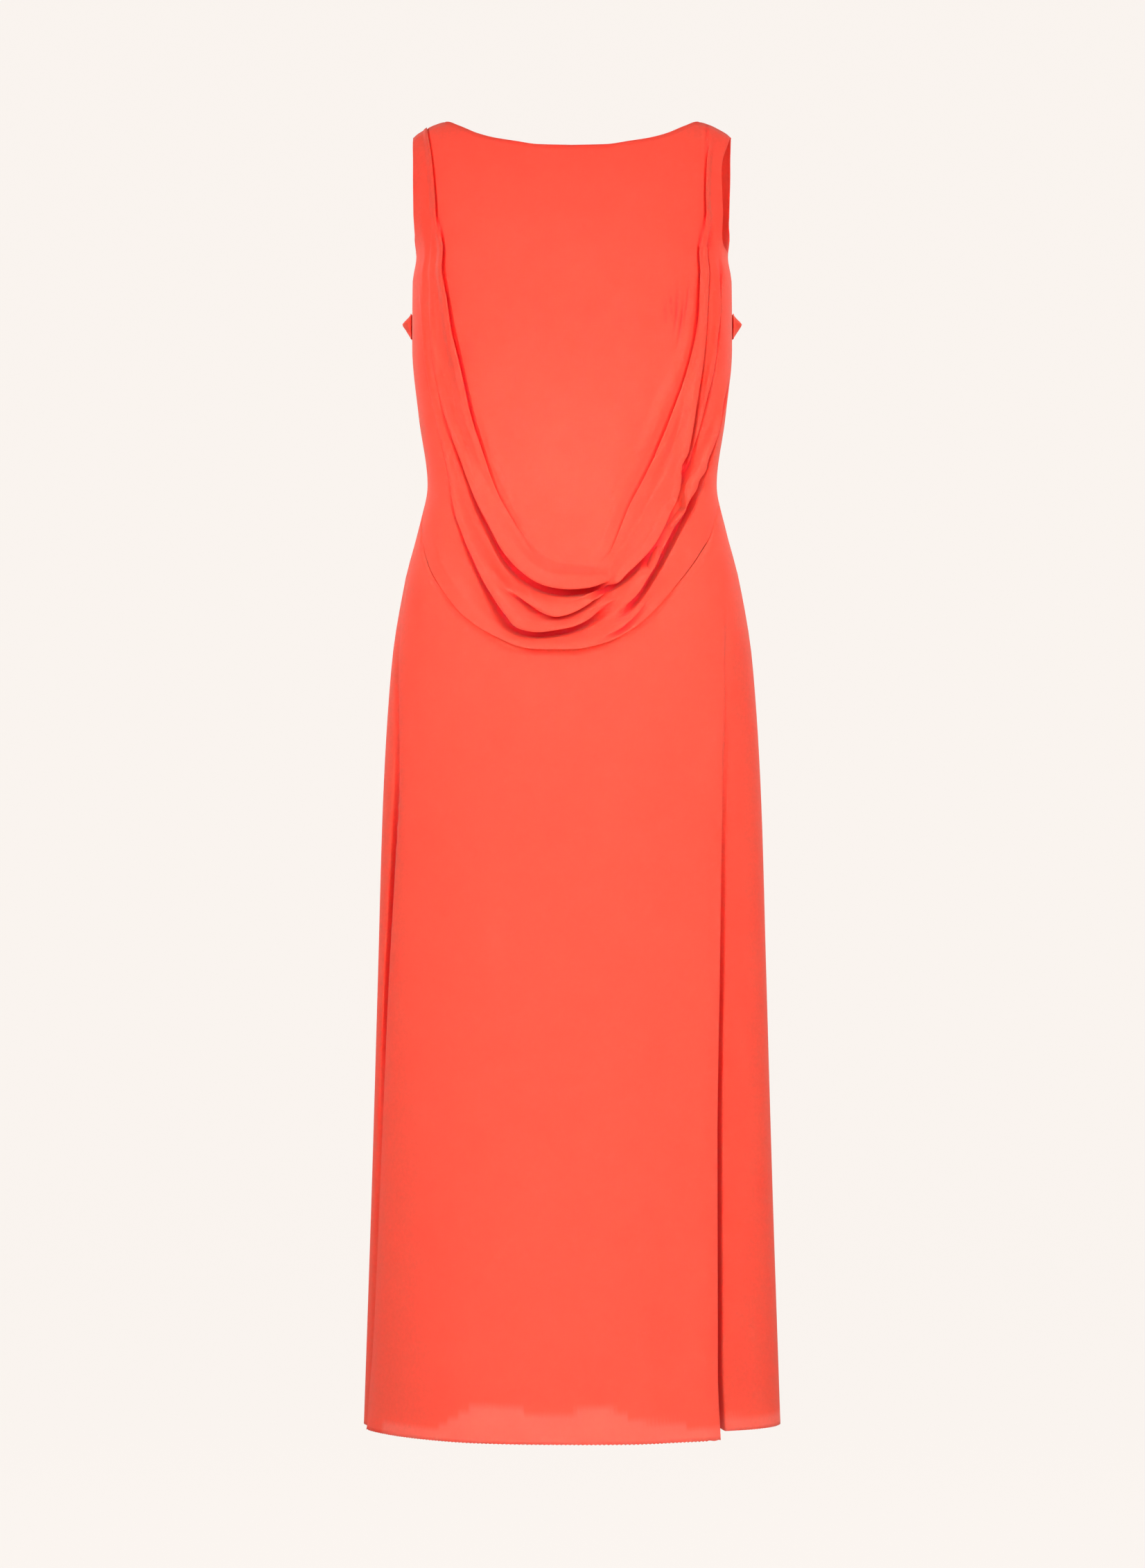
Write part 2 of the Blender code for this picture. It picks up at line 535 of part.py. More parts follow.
def back_band():
    """The strap: lines along its length, from its top edge over the crease to its bottom edge."""
    arc = np.linspace(SIDE_SEAM - 2, -(SIDE_SEAM - 2), BAND_COLUMNS)
    at_side = ease((np.abs(arc) - BAND_BACK_ARC) / (BAND_SIDE_ARC - BAND_BACK_ARC))
    crease = BAND_CREASE_AT_BACK + (BAND_CREASE_AT_SIDE - BAND_CREASE_AT_BACK) * at_side
    points = []
    for line in BAND_LINES:
        out = BAND_CLEARANCE + (crease - BAND_CLEARANCE) * line.share
        drop = np.full(BAND_COLUMNS, line.drop)
        points.append(figure_point(arc, drop, 1) + out[:, None] * figure_normal(arc, drop, 1))
    points = seam_side(np.stack(points), 1)
    faces = grid_faces(len(BAND_LINES), BAND_COLUMNS)
    obj = new_object("back_band", points.reshape(-1, 3), faces, (0.75, 0.09, 0.05))
    thicken(obj)


# ---------------------------------------------------------------- the skirt
HIP_ROWS = (0.0, 0.12, 0.4, 0.7, 1.0)    # shares of the way from the seam to the hip level
HIP_LEVEL = 640.0
SKIRT_LEVELS = (760.0, 900.0, 1050.0, 1220.0, 1330.0, HEM_DROP)


def skirt_drops(top):
    """Drops of one column of the skirt, from its top edge to the hem."""
    return [top + (HIP_LEVEL - top) * share for share in HIP_ROWS] + list(SKIRT_LEVELS)


def seam_places():
    """Arcs and drops where the bodice's rays meet the hip seam, from left to right."""
    rays = [ray for ray in FRONT_RAYS if ray.outer_level >= WAIST_DROP]
    arcs = np.array([float(arc_of(ray.outer_x, ray.outer_level)) for ray in rays])
    return arcs, np.array([ray.outer_level for ray in rays], float)


def seam_line(arc):
    return np.interp(arc, *seam_places())


def seam_columns(side):
    """Arcs of one half of the skirt's top edge: the bodice's own, with some halfway between."""
    arcs = seam_places()[0]
    own = np.sort(np.abs(arcs[arcs * side >= 0]))
    extra = [(own[i] + own[i + 1]) / 2 for i in WIDE_GAPS]
    return np.sort(np.concatenate((own, extra)))


def skirt_half(rows, side, drop):
    """Arcs and heights across half of the skirt front at one drop, from the centre outwards."""
    sizes = {name: float(column(rows, "drop", name)(drop)) for name in ("x", "overlap", "stands_out", "sink")}
    fold = Fold(SKIRT_FOLD_HALF, 1)
    edge = float(arc_of(sizes["x"], drop, sizes["stands_out"]))
    centre = min(fold.centre(edge, sizes["overlap"]), SIDE_SEAM - LEAST_SIDE)
    near = centre - KERNEL_REACH * fold.half
    far = centre + KERNEL_REACH * fold.half
    across = [near * share for share in BEFORE_FOLD]
    across += [centre + fold.half * q for q in (-KERNEL_REACH, -1, 0, 1, KERNEL_REACH)]
    across += [far + (SIDE_SEAM - far) * share for share in PAST_FOLD]
    across = np.array(across)
    edge = centre - fold.centre(0.0, sizes["overlap"])
    shift, height = fold.shifts(across, edge, sizes["overlap"], sizes["stands_out"],
                                SKIRT_FOLD_RISE, sizes["sink"], SIDE_SEAM - far + SIDE_FADE)
    height[-1] = 0.0
    return side * (across + shift), height


def skirt_grid(facing, top):
    """Arc, drop and height for each row and column of one skirt panel, left to right."""
    if facing > 0:
        own = np.linspace(-BACK_INNER_ARC, BACK_INNER_ARC, BACK_INNER_COLUMNS)
        sides = np.array((SIDE_SEAM - SEAM_COLUMN, SIDE_SEAM))
        arcs = np.concatenate((-sides[::-1], own, sides))
        drops = np.array([skirt_drops(top(a)) for a in arcs]).T
        return np.tile(arcs, (len(drops), 1)), drops, back_height(arcs[None, :], drops)
    levels = skirt_drops(float(top(0)))
    blend = np.concatenate((ease(HIP_ROWS), np.ones(len(SKIRT_LEVELS))))
    arc, drop, height = [], [], []
    for level, share in zip(range(len(levels)), blend):
        arcs, heights = [], []
        for side, rows in ((-1, LEFT_SKIRT_FOLD), (1, RIGHT_SKIRT_FOLD)):
            folded, lifted = skirt_half(rows, side, levels[level])
            arcs.append(side * seam_columns(side) * (1 - share) + folded * share)
            heights.append(lifted)
        arcs = np.concatenate((arcs[0][:0:-1], arcs[1]))
        arc.append(arcs)
        height.append(np.concatenate((heights[0][:0:-1], heights[1])))
        drop.append([skirt_drops(float(top(a)))[level] for a in arcs])
    return np.array(arc), np.array(drop), np.array(height)


def back_height(arc, drop):
    total = np.zeros(np.broadcast(arc, drop).shape)
    for flare in BACK_FLARES:
        centre = arc_of(flare.x, HEM_DROP)
        grown = ease((drop - flare.starts) / (HEM_DROP - flare.starts))
        total = total + flare.stands_out * grown * np.exp(-((arc - centre) / flare.width) ** 2)
    return total


def skirt_points(facing, top):
    arc, drop, height = skirt_grid(facing, top)
    points = figure_point(arc, drop, facing) + height[..., None] * figure_normal(arc, drop, facing)
    return points


def waist_curve(arc):
    return WAIST_DROP + WAIST_DIP * (1 - (np.asarray(arc) / SIDE_SEAM) ** 2)


def skirt_panels():
    for name, facing, top in (("skirt_front", -1, seam_line), ("skirt_back", 1, waist_curve)):
        points = seam_side(skirt_points(facing, lambda arc: top(arc) + HIP_SEAM_GAP), facing)
        faces = grid_faces(*points.shape[:2], flip=facing > 0)
        obj = new_object(name, points.reshape(-1, 3), faces, (0.88, 0.14, 0.08))
        thicken(obj)


def skirt_lining():
    """A tube inside the skirt: the skirt's own points moved inwards, then trimmed at both ends."""
    front = skirt_points(-1, seam_line)
    back = skirt_points(1, waist_curve)
    ring = np.concatenate((front, back[:, -2:0:-1]), axis=1)
    rows, count = ring.shape[:2]
    faces = []
    for i in range(rows - 1):
        for j in range(count):
            following = (j + 1) % count
            upper, lower = i * count, (i + 1) * count
            faces.append((upper + j, lower + j, lower + following, upper + following))
    obj = new_object("skirt_lining", ring.reshape(-1, 3), faces, (0.60, 0.06, 0.04))
    sheet = bmesh.new()
    sheet.from_mesh(obj.data)
    sheet.normal_update()
    sheet.verts.ensure_lookup_table()
    for vertex in sheet.verts:
        vertex.co = vertex.co - vertex.normal * (CLOTH + LAYER_GAP) * MM
    rim = smooth_curve([edge.x for edge in LINING_EDGE], [edge.drop for edge in LINING_EDGE])
    for j in range(count):
        top, below = sheet.verts[j], sheet.verts[count + j]
        top.co = top.co.lerp(below.co, LINING_TOP_GAP * MM / (top.co.z - below.co.z))
        above, hem = sheet.verts[(rows - 2) * count + j], sheet.verts[(rows - 1) * count + j]
        edge = rim(hem.co.x / MM) if j < front.shape[1] else rim(LINING_EDGE[-1].x)
        hem.co = above.co.lerp(hem.co, (above.co.z + edge * MM) / (above.co.z - hem.co.z))
    sheet.to_mesh(obj.data)
    sheet.free()
    thicken(obj)


# ---------------------------------------------------------------- build
for old in list(bpy.data.objects):
    bpy.data.objects.remove(old, do_unlink=True)
gown = bpy.data.collections.new(COLLECTION_NAME)
bpy.context.scene.collection.children.link(gown)

bodice_front()
bodice_back()
back_band()
skirt_panels()
skirt_lining()
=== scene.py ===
"""Looks of a coral-red evening gown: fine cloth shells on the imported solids, with their folds.

Sizes of the cloth are in millimetres until a mesh is made, and the stage is in metres. X runs along
the shoulders, the front faces -Y, +Z is up, and a drop is a distance below the shoulders. A place on
the cloth is an arc (the distance round the figure from its centre line) and a drop, and a fold is a
table of places along its edge.
"""
import math
from collections import namedtuple

import bpy
import numpy as np
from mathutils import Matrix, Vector


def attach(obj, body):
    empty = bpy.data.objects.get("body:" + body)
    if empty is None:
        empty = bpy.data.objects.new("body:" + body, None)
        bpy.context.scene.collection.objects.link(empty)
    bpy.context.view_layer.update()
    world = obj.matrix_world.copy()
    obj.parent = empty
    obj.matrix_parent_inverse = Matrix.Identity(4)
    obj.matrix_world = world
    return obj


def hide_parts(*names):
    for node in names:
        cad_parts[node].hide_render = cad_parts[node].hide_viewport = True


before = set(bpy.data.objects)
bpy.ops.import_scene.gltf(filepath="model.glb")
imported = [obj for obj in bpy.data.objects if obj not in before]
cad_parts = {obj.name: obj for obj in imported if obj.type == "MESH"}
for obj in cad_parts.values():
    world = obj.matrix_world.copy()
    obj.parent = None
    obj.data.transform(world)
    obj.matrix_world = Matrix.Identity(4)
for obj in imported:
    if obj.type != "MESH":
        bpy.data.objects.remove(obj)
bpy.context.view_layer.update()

MM = 0.001
SCENE = bpy.context.scene

# ------------------------ sizes shared with the solids
HEM_DROP = 1408.0
ARMHOLE_DROP = 147.0
WAIST_DROP = 403.0
NECK_HALF_WIDTH = 139.0
SHOULDER_DROP = 20.0     # about where the shoulder seams lie
SHOULDER_ROUND = 55.0    # over which the cloth turns from the shoulders to the front or back
SHOULDER_LAP = 0.4       # the panels meet within this of the shoulder line
NECK_SLOPE = 0.30
ARC_PER_RADIAN = 170.0   # about the half width of the figure, so that an arc is nearly a length
SIDE_SEAM = ARC_PER_RADIAN * math.pi / 2
SHELL = 0.8              # thickness of the cloth that is drawn
SEAM_HALF_GAP = 0.08     # from a panel to the plane through the side and shoulder seams
NORMAL_STEP = 1.5        # from a place to those that its normal is found from
AT_SIDE = 1.0            # an arc this close to the side seam is at it


def table(kind, *rows):
    """The rows of a table, each as a tuple with the kind's names."""
    return tuple(kind(*row) for row in rows)


def tables(kind, *all_rows):
    return tuple(table(kind, *rows) for rows in all_rows)


Section = namedtuple("Section", "drop half_width front back squareness")
FIGURE = table(          # the general form under the cloth; it isn't drawn
    Section,
    (0, 178, 48, 48, 2.50),
    (33, 181, 62, 60, 2.50),
    (60, 182, 76, 72, 2.50),
    (100, 180, 95, 84, 2.50),
    (147, 168.5, 111, 94, 2.40),
    (175, 172.5, 119, 97, 2.35),
    (243, 173, 108, 92, 2.30),
    (318, 166, 97, 88, 2.30),
    (393, 156.4, 90, 84, 2.30),
    (438, 165.4, 95, 94, 2.25),
    (498, 181, 104, 108, 2.20),
    (588, 195.4, 114, 120, 2.15),
    (738, 204.8, 124, 130, 2.10),
    (918, 210, 134, 140, 2.10),
    (1158, 217, 150, 154, 2.10),
    (1408, 225.4, 166, 168, 2.10),
)

Edge = namedtuple("Edge", "x drop")
FRONT_TOP = table(
    Edge, (0, 33), (36, 32), (61, 28), (82, 24), (101, 18), (123, 7), (139, 0), (150, 3), (160, 8),
    (168, 13), (172, 17),
)

# ------------------------ folds of the draped front
# half is half the cloth that turns under at the edge; overlap is how far the edge hides the cloth
# behind it; the cloth climbs to stands_out over the last rise mm before the edge.
FoldPoint = namedtuple("FoldPoint", "x drop half overlap stands_out rise")
OVER_INNER, OVER_OUTER = -1, 1  # which side of its edge a fold lies over
INNER_LEFT_FOLD = table(
    FoldPoint, (-157, 2, 1.4, 1.4, 3, 8), (-149, 54, 1.5, 2, 4, 9), (-145, 96, 1.6, 2.5, 5, 10),
    (-142, 120, 1.8, 3, 5.5, 10), (-137, 156, 2, 4, 6.5, 11), (-133, 192, 2.2, 4.5, 7.5, 12),
    (-128, 228, 2.3, 5, 8.5, 13), (-122, 253, 2.4, 6, 9, 14), (-116, 281, 2.5, 6, 9, 15),
    (-110, 310, 2.5, 6, 9, 16), (-98, 352, 2.6, 5, 7.5, 17), (-84, 395, 2.6, 3, 6, 17),
    (-64, 434, 2.6, 1.2, 4, 16), (-46, 466, 2.6, 0.4, 2.5, 14), (-31, 492, 2.6, 0, 0, 12),
    (-20, 510, 2.6, 0, 0, 12),
)
INNER_RIGHT_FOLD = table(
    FoldPoint, (14, 512, 2.6, 0, 0, 12), (26, 492, 2.6, 0, 0, 12), (45, 460, 2.6, 1.5, 4, 12),
    (59, 424, 2.8, 3, 6, 14), (77, 389, 2.8, 4, 7, 14), (98, 341, 2.8, 4, 7, 14),
    (106, 320, 2.8, 4, 7, 14), (115, 296, 2.6, 4, 6.5, 13), (124, 267, 2.4, 3.5, 6, 12),
    (129, 245, 2.2, 3, 5.5, 11), (133, 221, 2, 3, 5.5, 10), (135, 178, 1.8, 3, 5.5, 9),
    (138, 129, 1.7, 3, 5.5, 8), (142, 79, 1.6, 2.5, 4.5, 7), (145, 3, 1.4, 1.5, 3, 7),
)
FIRST_ROLL = table(
    FoldPoint, (-148, 84, 1.4, 0, 0, 6), (-148, 104, 1.4, 0, 0, 6), (-151, 149, 1.4, 0.2, 1.5, 8),
    (-151, 193, 1.4, 0.3, 2, 9), (-152, 207, 1.6, 0.3, 2.5, 9), (-150, 239, 1.6, 0.4, 3, 10),
    (-145, 280, 1.6, 0.6, 4, 12), (-137, 318, 1.8, 1, 5, 14), (-126, 351, 2, 1.5, 7, 16),
    (-107, 400, 2.4, 3, 11, 20), (-86, 445, 2.8, 7, 17, 22), (-66, 480, 3.2, 10, 23, 20),
    (-50, 496, 3.4, 12, 26, 18), (-25, 509, 3.6, 13, 28, 18), (-2, 512, 3.6, 13, 28, 18),
    (17, 510, 3.4, 11, 25, 16), (36, 505, 2.8, 5, 15, 14), (50, 500, 2.2, 1, 5, 12),
    (60, 496, 1.8, 0, 0, 10), (70, 491, 1.8, 0, 0, 10),
)
SECOND_ROLL = table(
    FoldPoint, (-10, 521, 1.8, 0, 0, 6), (6, 520, 1.8, 0.4, 2, 6), (20, 516, 1.8, 2, 6, 7),
    (40, 508, 2.2, 5, 12, 10), (58, 495, 2.2, 8, 17, 16), (77, 476, 2.2, 9, 17, 20),
    (91.5, 454, 2.2, 9, 17, 22), (102.5, 429, 2.2, 8, 16, 22), (112, 403, 2.2, 8, 15, 20),
    (119.4, 377, 2.2, 7, 14, 18), (124.6, 348, 2.2, 7, 14, 16), (130.4, 311, 2.2, 7, 13, 14),
    (135.5, 281, 2, 6, 12, 11), (139, 252, 1.9, 5, 10, 9), (142, 208, 1.8, 4, 9, 8),
    (144, 168, 1.6, 3, 8, 7), (147, 130, 1.5, 1.5, 4, 6), (149, 100, 1.4, 0, 0, 5),
    (150, 80, 1.4, 0, 0, 5),
)
SMALL_ROLL = table(
    FoldPoint, (-92, 503, 1.6, 0, 0, 8), (-76, 512, 1.6, 0, 0, 8), (-68, 515, 1.6, 1, 5, 9),
    (-59, 518, 1.8, 2, 9, 12), (-48, 524, 2, 3, 13, 16), (-35, 535, 2.2, 4, 16, 20),
    (-19, 541, 2.4, 5, 18, 24), (-2, 538, 2.4, 5, 18, 24), (17, 527, 2, 4, 14, 14),
    (30, 517, 1.8, 2, 8, 8), (42, 509, 1.6, 0, 0, 6), (52, 500, 1.6, 0, 0, 6),
)
THIRD_ROLL_LEFT = table(
    FoldPoint, (-168, 152, 1.4, 0, 0, 6), (-165, 180, 1.4, 0.3, 1.5, 6), (-162, 207, 1.4, 0.4, 2, 7),
    (-157, 267, 1.6, 0.5, 2.5, 9), (-150, 302, 1.8, 0.6, 3, 10), (-143, 334, 1.8, 0.6, 3.5, 12),
    (-129, 399, 2, 0.8, 5, 16), (-115, 453, 2, 1.5, 7, 18), (-104, 478, 2.2, 3, 9, 20),
    (-86, 515, 2.4, 6, 15, 20), (-71, 540, 2.8, 9, 20, 20), (-58, 553, 3, 10, 22, 18),
    (-37, 557, 3, 10, 22, 16), (-2, 552, 3, 10, 22, 16), (22, 540, 2.6, 7, 17, 14),
    (34, 529, 2, 3, 9, 12), (44, 518, 1.8, 0, 0, 10), (54, 508, 1.8, 0, 0, 10),
)
SIDE_ROLL = table(
    FoldPoint, (162, 142, 1.2, 0, 0, 6), (161, 160, 1.4, 1, 3, 8), (157.5, 180, 1.6, 3, 6, 10),
    (156, 223, 1.8, 4, 8, 12), (153, 252, 1.8, 4, 8, 12), (147, 289, 1.8, 4, 8, 11),
    (138, 325, 1.7, 4, 7, 9), (128, 362, 1.5, 3, 6, 6), (118.8, 399, 1.3, 1.5, 4, 4),
    (108, 424, 1.2, 0, 0, 4), (98, 446, 1.2, 0, 0, 4),
)
FOURTH_ROLL = table(
    FoldPoint, (174, 262, 1.6, 0, 0, 8), (169, 284, 1.8, 2, 5, 10), (160, 317, 2.6, 6, 11, 14),
    (153, 341, 3.2, 9, 16, 18), (141, 375, 3.6, 10, 19, 20), (127, 407, 3.6, 11, 21, 22),
    (109, 441, 3.6, 11, 21, 22), (92, 475, 3.4, 11, 20, 22), (69, 516, 3, 9, 16, 22),
    (58, 532, 2.6, 5, 10, 20), (50, 543, 2.2, 1, 4, 16), (44, 550, 2, 0, 0, 12),
)
LOWEST_ROLL_END = table(
    FoldPoint, (30, 566, 2, 0, 0, 8), (40, 560, 2.2, 0.5, 2, 9), (49, 555, 2.2, 3, 7, 11),
    (59, 547, 2.2, 3, 7, 11), (71, 533, 2, 1.5, 4, 10), (79, 521, 1.8, 0.3, 1.5, 9),
    (86, 510, 1.8, 0, 0, 8),
)
FRONT_FOLDS = (          # from the centre outwards
    (OVER_INNER, INNER_LEFT_FOLD), (OVER_INNER, INNER_RIGHT_FOLD), (OVER_OUTER, FIRST_ROLL),
    (OVER_OUTER, SECOND_ROLL), (OVER_OUTER, SMALL_ROLL), (OVER_OUTER, SIDE_ROLL),
    (OVER_OUTER, THIRD_ROLL_LEFT), (OVER_OUTER, FOURTH_ROLL), (OVER_OUTER, LOWEST_ROLL_END),
)

# Soft ridges (height > 0) and troughs (height < 0) along a line, with no overlap.
SoftPoint = namedtuple("SoftPoint", "x drop height width")
TENSION_CREASES = tables(  # short drag lines where the right inner fold pulls on the panel
    SoftPoint,
    ((104, 192, 0, 1.2), (105, 206, -1.4, 1.3), (107, 226, 0, 1.2)),
    ((110, 190, 0, 1.2), (111, 212, -2.4, 1.5), (109, 238, 0, 1.2)),
    ((118, 200, 0, 1.2), (116, 224, -2.4, 1.5), (112, 248, 0, 1.2)),
    ((124, 186, 0, 1.2), (122, 204, -1.8, 1.4), (119, 224, 0, 1.2)),
    ((98, 200, 0, 1.4), (99, 214, -1, 1.5), (100, 230, 0, 1.4)),
)
FRONT_SOFT = tables(
    SoftPoint,
    # the soft swelling beside the right inner fold
    ((134, 60, 0, 5), (130, 178, 1, 5), (124, 232, 3, 6), (110, 282, 5, 8), (95, 315, 5.5, 9),
     (78, 355, 5.5, 9), (58, 395, 5, 9), (41, 432, 4, 8), (31, 461, 2.5, 7), (22, 483, 0, 7)),
    # beside the left inner fold
    ((-95, 330, 0, 4), (-84, 372, 1.6, 4), (-66, 412, 2.4, 5), (-50, 446, 2.6, 6),
     (-36, 474, 1.6, 6), (-28, 488, 0, 6)),
    # faint, beside the left hip seam
    ((-150, 440, 0, 6), (-143, 470, 2, 7), (-120, 508, 2.4, 8), (-98, 530, 2.4, 8), (-80, 545, 1, 6),
     (-70, 552, 0, 6)),
    # the hollow between the first and third rolls
    ((-112, 430, 0, 7), (-98, 455, -2.5, 8), (-82, 480, -4, 9), (-62, 502, -3, 8), (-46, 514, 0, 7)),
    # beside the left armhole
    ((-160, 20, 0, 8), (-158, 80, 1.2, 9), (-158, 140, 1.5, 7), (-159, 220, 1, 5), (-152, 290, 0, 5)),
) + TENSION_CREASES

# Rays across the front, from the flat centre panel to the outer edge of the drape. A level is a
# drop, but evened out above the armholes so that level 0 is the top of the front everywhere.
Ray = namedtuple("Ray", "inner_x inner_level outer_x outer_level lip_hang lip_out")
BEYOND = 400.0           # past the side seam, so the ray ends in it
FRONT_RAYS = table(
    Ray, (-122, 0, -172, 0, 0, 0), (-118, 50, -171, 50, 0, 0), (-116, 100, -170, 100, 0, 0),
    (-113, 138, -168.6, 138, 0, 0), (-112, 147, -BEYOND, 147, 0, 0), (-106, 195, -BEYOND, 200, 0, 0),
    (-96, 248, -BEYOND, 262, 0, 0), (-85, 295, -BEYOND, 325, 0, 0), (-75, 333, -BEYOND, 375, 0, 0),
    (-65, 364, -BEYOND, 403, 0, 0), (-57, 386, -160, 421, 0, 0), (-50, 406, -161, 446, 0, 0),
    (-42, 427, -155, 478, 0, 0), (-34, 442, -139, 507, 0, 2), (-26, 453, -112, 538, 1, 6),
    (-17, 460, -79, 557, 3, 9), (-8, 464, -41, 570, 4, 11), (2, 465, 0, 570, 4, 11),
    (11, 462, 34, 563, 4, 10), (20, 455, 64, 548, 3, 8), (27, 445, 92, 524, 1, 5),
    (34, 430, 118, 495, 0, 1), (42, 408, 138, 467, 0, 0), (51, 385, 149, 447, 0, 0),
    (60, 362, 154, 424, 0, 0), (69, 338, BEYOND, 403, 0, 0), (80, 308, BEYOND, 358, 0, 0),
    (93, 272, BEYOND, 308, 0, 0), (104, 236, BEYOND, 255, 0, 0), (111, 195, BEYOND, 200, 0, 0),
    (115, 147, BEYOND, 147, 0, 0), (115.5, 138, 162.5, 138, 0, 0), (117, 100, 161, 100, 0, 0),
    (119, 50, 160, 50, 0, 0), (121, 0, 171, 0, 0, 0),
)
CORNER = 12              # rays from either shoulder to the lower corners of the centre panel
RAYS_BETWEEN = 7         # fine rays for each ray of the table
ACROSS = 176             # places along a fine ray

# ------------------------ the open back, hidden in the photo
BackRay = namedtuple("BackRay", "inner_x inner_drop outer_x outer_drop")
BACK_RAYS = table(       # from the scooped neck edge to the armhole, side seam and waist seam
    BackRay, (139, 0, 172, 17), (138.5, 14, 172, 27), (138, 32, 172, 43), (136, 62, 172, 70),
    (133, 100, 171, 104), (128, 134, BEYOND, 147), (121, 166, BEYOND, 180), (112, 198, BEYOND, 215),
    (101, 228, BEYOND, 255), (89, 254, BEYOND, 300), (76, 274, BEYOND, 350), (62, 289, BEYOND, 403),
    (47, 300, 139, 404.5), (31, 307, 98, 407), (15, 311, 50, 408.5), (0, 312, 0, 409),
)
BACK_RAYS_BETWEEN = 6
BACK_ACROSS = 64
BACK_EDGE = 0.35         # how soon inside its edges the back's drapes are full
BACK_SOFT = tables(      # soft drapes from the side seams towards the scoop, and one behind each arm
    SoftPoint,
    ((-170, 236, 0, 7), (-150, 252, 2.2, 7), (-118, 288, 2.6, 9),
     (-80, 330, 1.4, 10), (-40, 352, 0, 10)),
    ((-168, 292, 0, 6), (-148, 312, 2.4, 7), (-112, 346, 2, 9),
     (-66, 374, 0.8, 10), (-30, 384, 0, 10)),
    ((-160, 352, 0, 5), (-140, 366, 1.4, 6), (-110, 384, 0.8, 7), (-88, 394, 0, 7)),
    ((170, 226, 0, 6), (146, 244, 2.4, 7), (110, 284, 2.2, 9), (70, 322, 1, 10), (30, 340, 0, 10)),
    ((168, 276, 0, 7), (150, 296, 2, 8), (120, 330, 2.8, 9), (78, 368, 1.2, 11), (36, 386, 0, 10)),
    ((160, 340, 0, 5), (136, 358, 1.6, 6), (104, 380, 0.8, 7), (84, 392, 0, 7)),
    ((154, 96, 0, 2.4), (160, 114, -2, 2.6), (167, 136, -2.4, 2.6), (171, 160, 0, 2.4)),
    ((-152, 104, 0, 3), (-158, 128, -1.6, 3), (-166, 158, 0, 3)),
)

BAND_TOP, BAND_CREASE, BAND_BOTTOM = 207.0, 217.5, 234.0
BAND_CLEARANCE = 2.0     # from the back panel to the edges of the strap
BAND_CREASE_AT_SIDE = 13.0
BAND_CREASE_AT_BACK = 5.0
BAND_SIDE_STARTS, BAND_SIDE_LENGTH = 150.0, 90.0  # arcs over which the one turns into the other
BAND_END = 16.0          # over which the crease comes in to the side seam
BAND_NOTCH, BAND_NOTCH_WIDTH = 0.06, 1.5  # a faint dent along the crease
BAND_COLUMNS, BAND_LINES = 241, 25
BAND_LINES_ABOVE = 0.42  # share of the lines above the crease
BAND_SAMPLES = 160
BAND_WRINKLES = tables(  # short dents where the strap is pulled to the sides
    SoftPoint,
    ((-176, 222, 0, 2), (-168, 226, -0.8, 2.4), (-150, 228, 0, 2)),
    ((176, 212, 0, 2), (166, 212, -0.7, 2.4), (146, 213, 0, 2)),
    ((-60, 226, 0, 3), (-20, 229, -0.6, 3.4), (44, 227, 0, 3)),
)

# ------------------------ the skirt and its lining
SkirtFold = namedtuple("SkirtFold", "drop x overlap stands_out sink slot")
RIGHT_SKIRT_FOLD = table(  # the front stops at this edge and the side of the skirt lies behind it
    SkirtFold, (540, 161, 0, 0, 0, 0), (620, 163, 0, 2, 10, 2), (760, 160, 2, 3, 24, 6),
    (914, 158, 5, 4, 38, 10), (1101, 155, 7, 4, 50, 17), (1335, 155, 9, 4, 62, 28),
    (1408, 158, 9, 4, 65, 30),
)
LEFT_SKIRT_FOLD = table(
    SkirtFold, (500, 178, 0, 0, 0, 0), (589, 186, 0, 1, 6, 3), (698, 185, 2, 2, 13, 9),
    (793, 189, 4, 2, 18, 13), (916, 196, 5, 2, 20, 12), (1105, 204, 5, 2, 20, 6),
    (1310, 213, 5, 2, 16, 2), (1408, 221, 4, 2, 11, 0),
)
SKIRT_FOLD_HALF = 4.5
SKIRT_FOLD_RISE = 46.0
SKIRT_TURN_FROM, SKIRT_TURN_OVER = -1.0, 3.0  # overlaps from and over which an edge turns under
SKIRT_FOLD_BEFORE = 6.0  # fine columns start this far before the cloth that a fold shifts
SKIRT_FOLD_SPARE = 8.0   # and are in all this much wider than it
SIDE_MARGIN = 34.0       # from the centre of a skirt fold to the side seam, at least
SINK_PAST_SEAM = 8.0     # the cloth past a fold would be level again this far past the side seam
SLOT_WIDTH = 7.5         # the part of the slot behind a fold's edge that shows
FULL_SHADE_SLOT = 20.0         # a slot this deep gets the fullest painted shade
HIP_SEAM_GAP = 1.1
WAIST_DIP = 6.0          # how much lower the waist seam is at the centre of the back
SKIRT_ROWS = 56
EVEN_ROWS, ROW_POWER = 0.25, 1.3  # share of the rows that is even; the rest are closer at the ends
SKIRT_SHARES = (170, 90, 80)  # columns of a half before, at and past its fold
HEM_SCALLOP = 0.75       # depth of the small waves that the hem's stitching draws in the edge
SCALLOP_LENGTH = 3.4
SKIRT_SOFT = tables(     # long faint waves of the front, hung from the hip seam
    SoftPoint,
    ((-96, 640, 0, 26), (-104, 900, 1.2, 28), (-112, 1408, 2.6, 30)),
    ((-22, 700, 0, 30), (-14, 1000, -0.8, 34), (-8, 1408, -2, 38)),
    ((62, 660, 0, 26), (70, 950, 1, 28), (78, 1408, 2.2, 32)),
    ((120, 700, 0, 16), (118, 1000, -1, 18), (114, 1408, -1.8, 20)),
)
BackFlare = namedtuple("BackFlare", "x width starts stands_out")
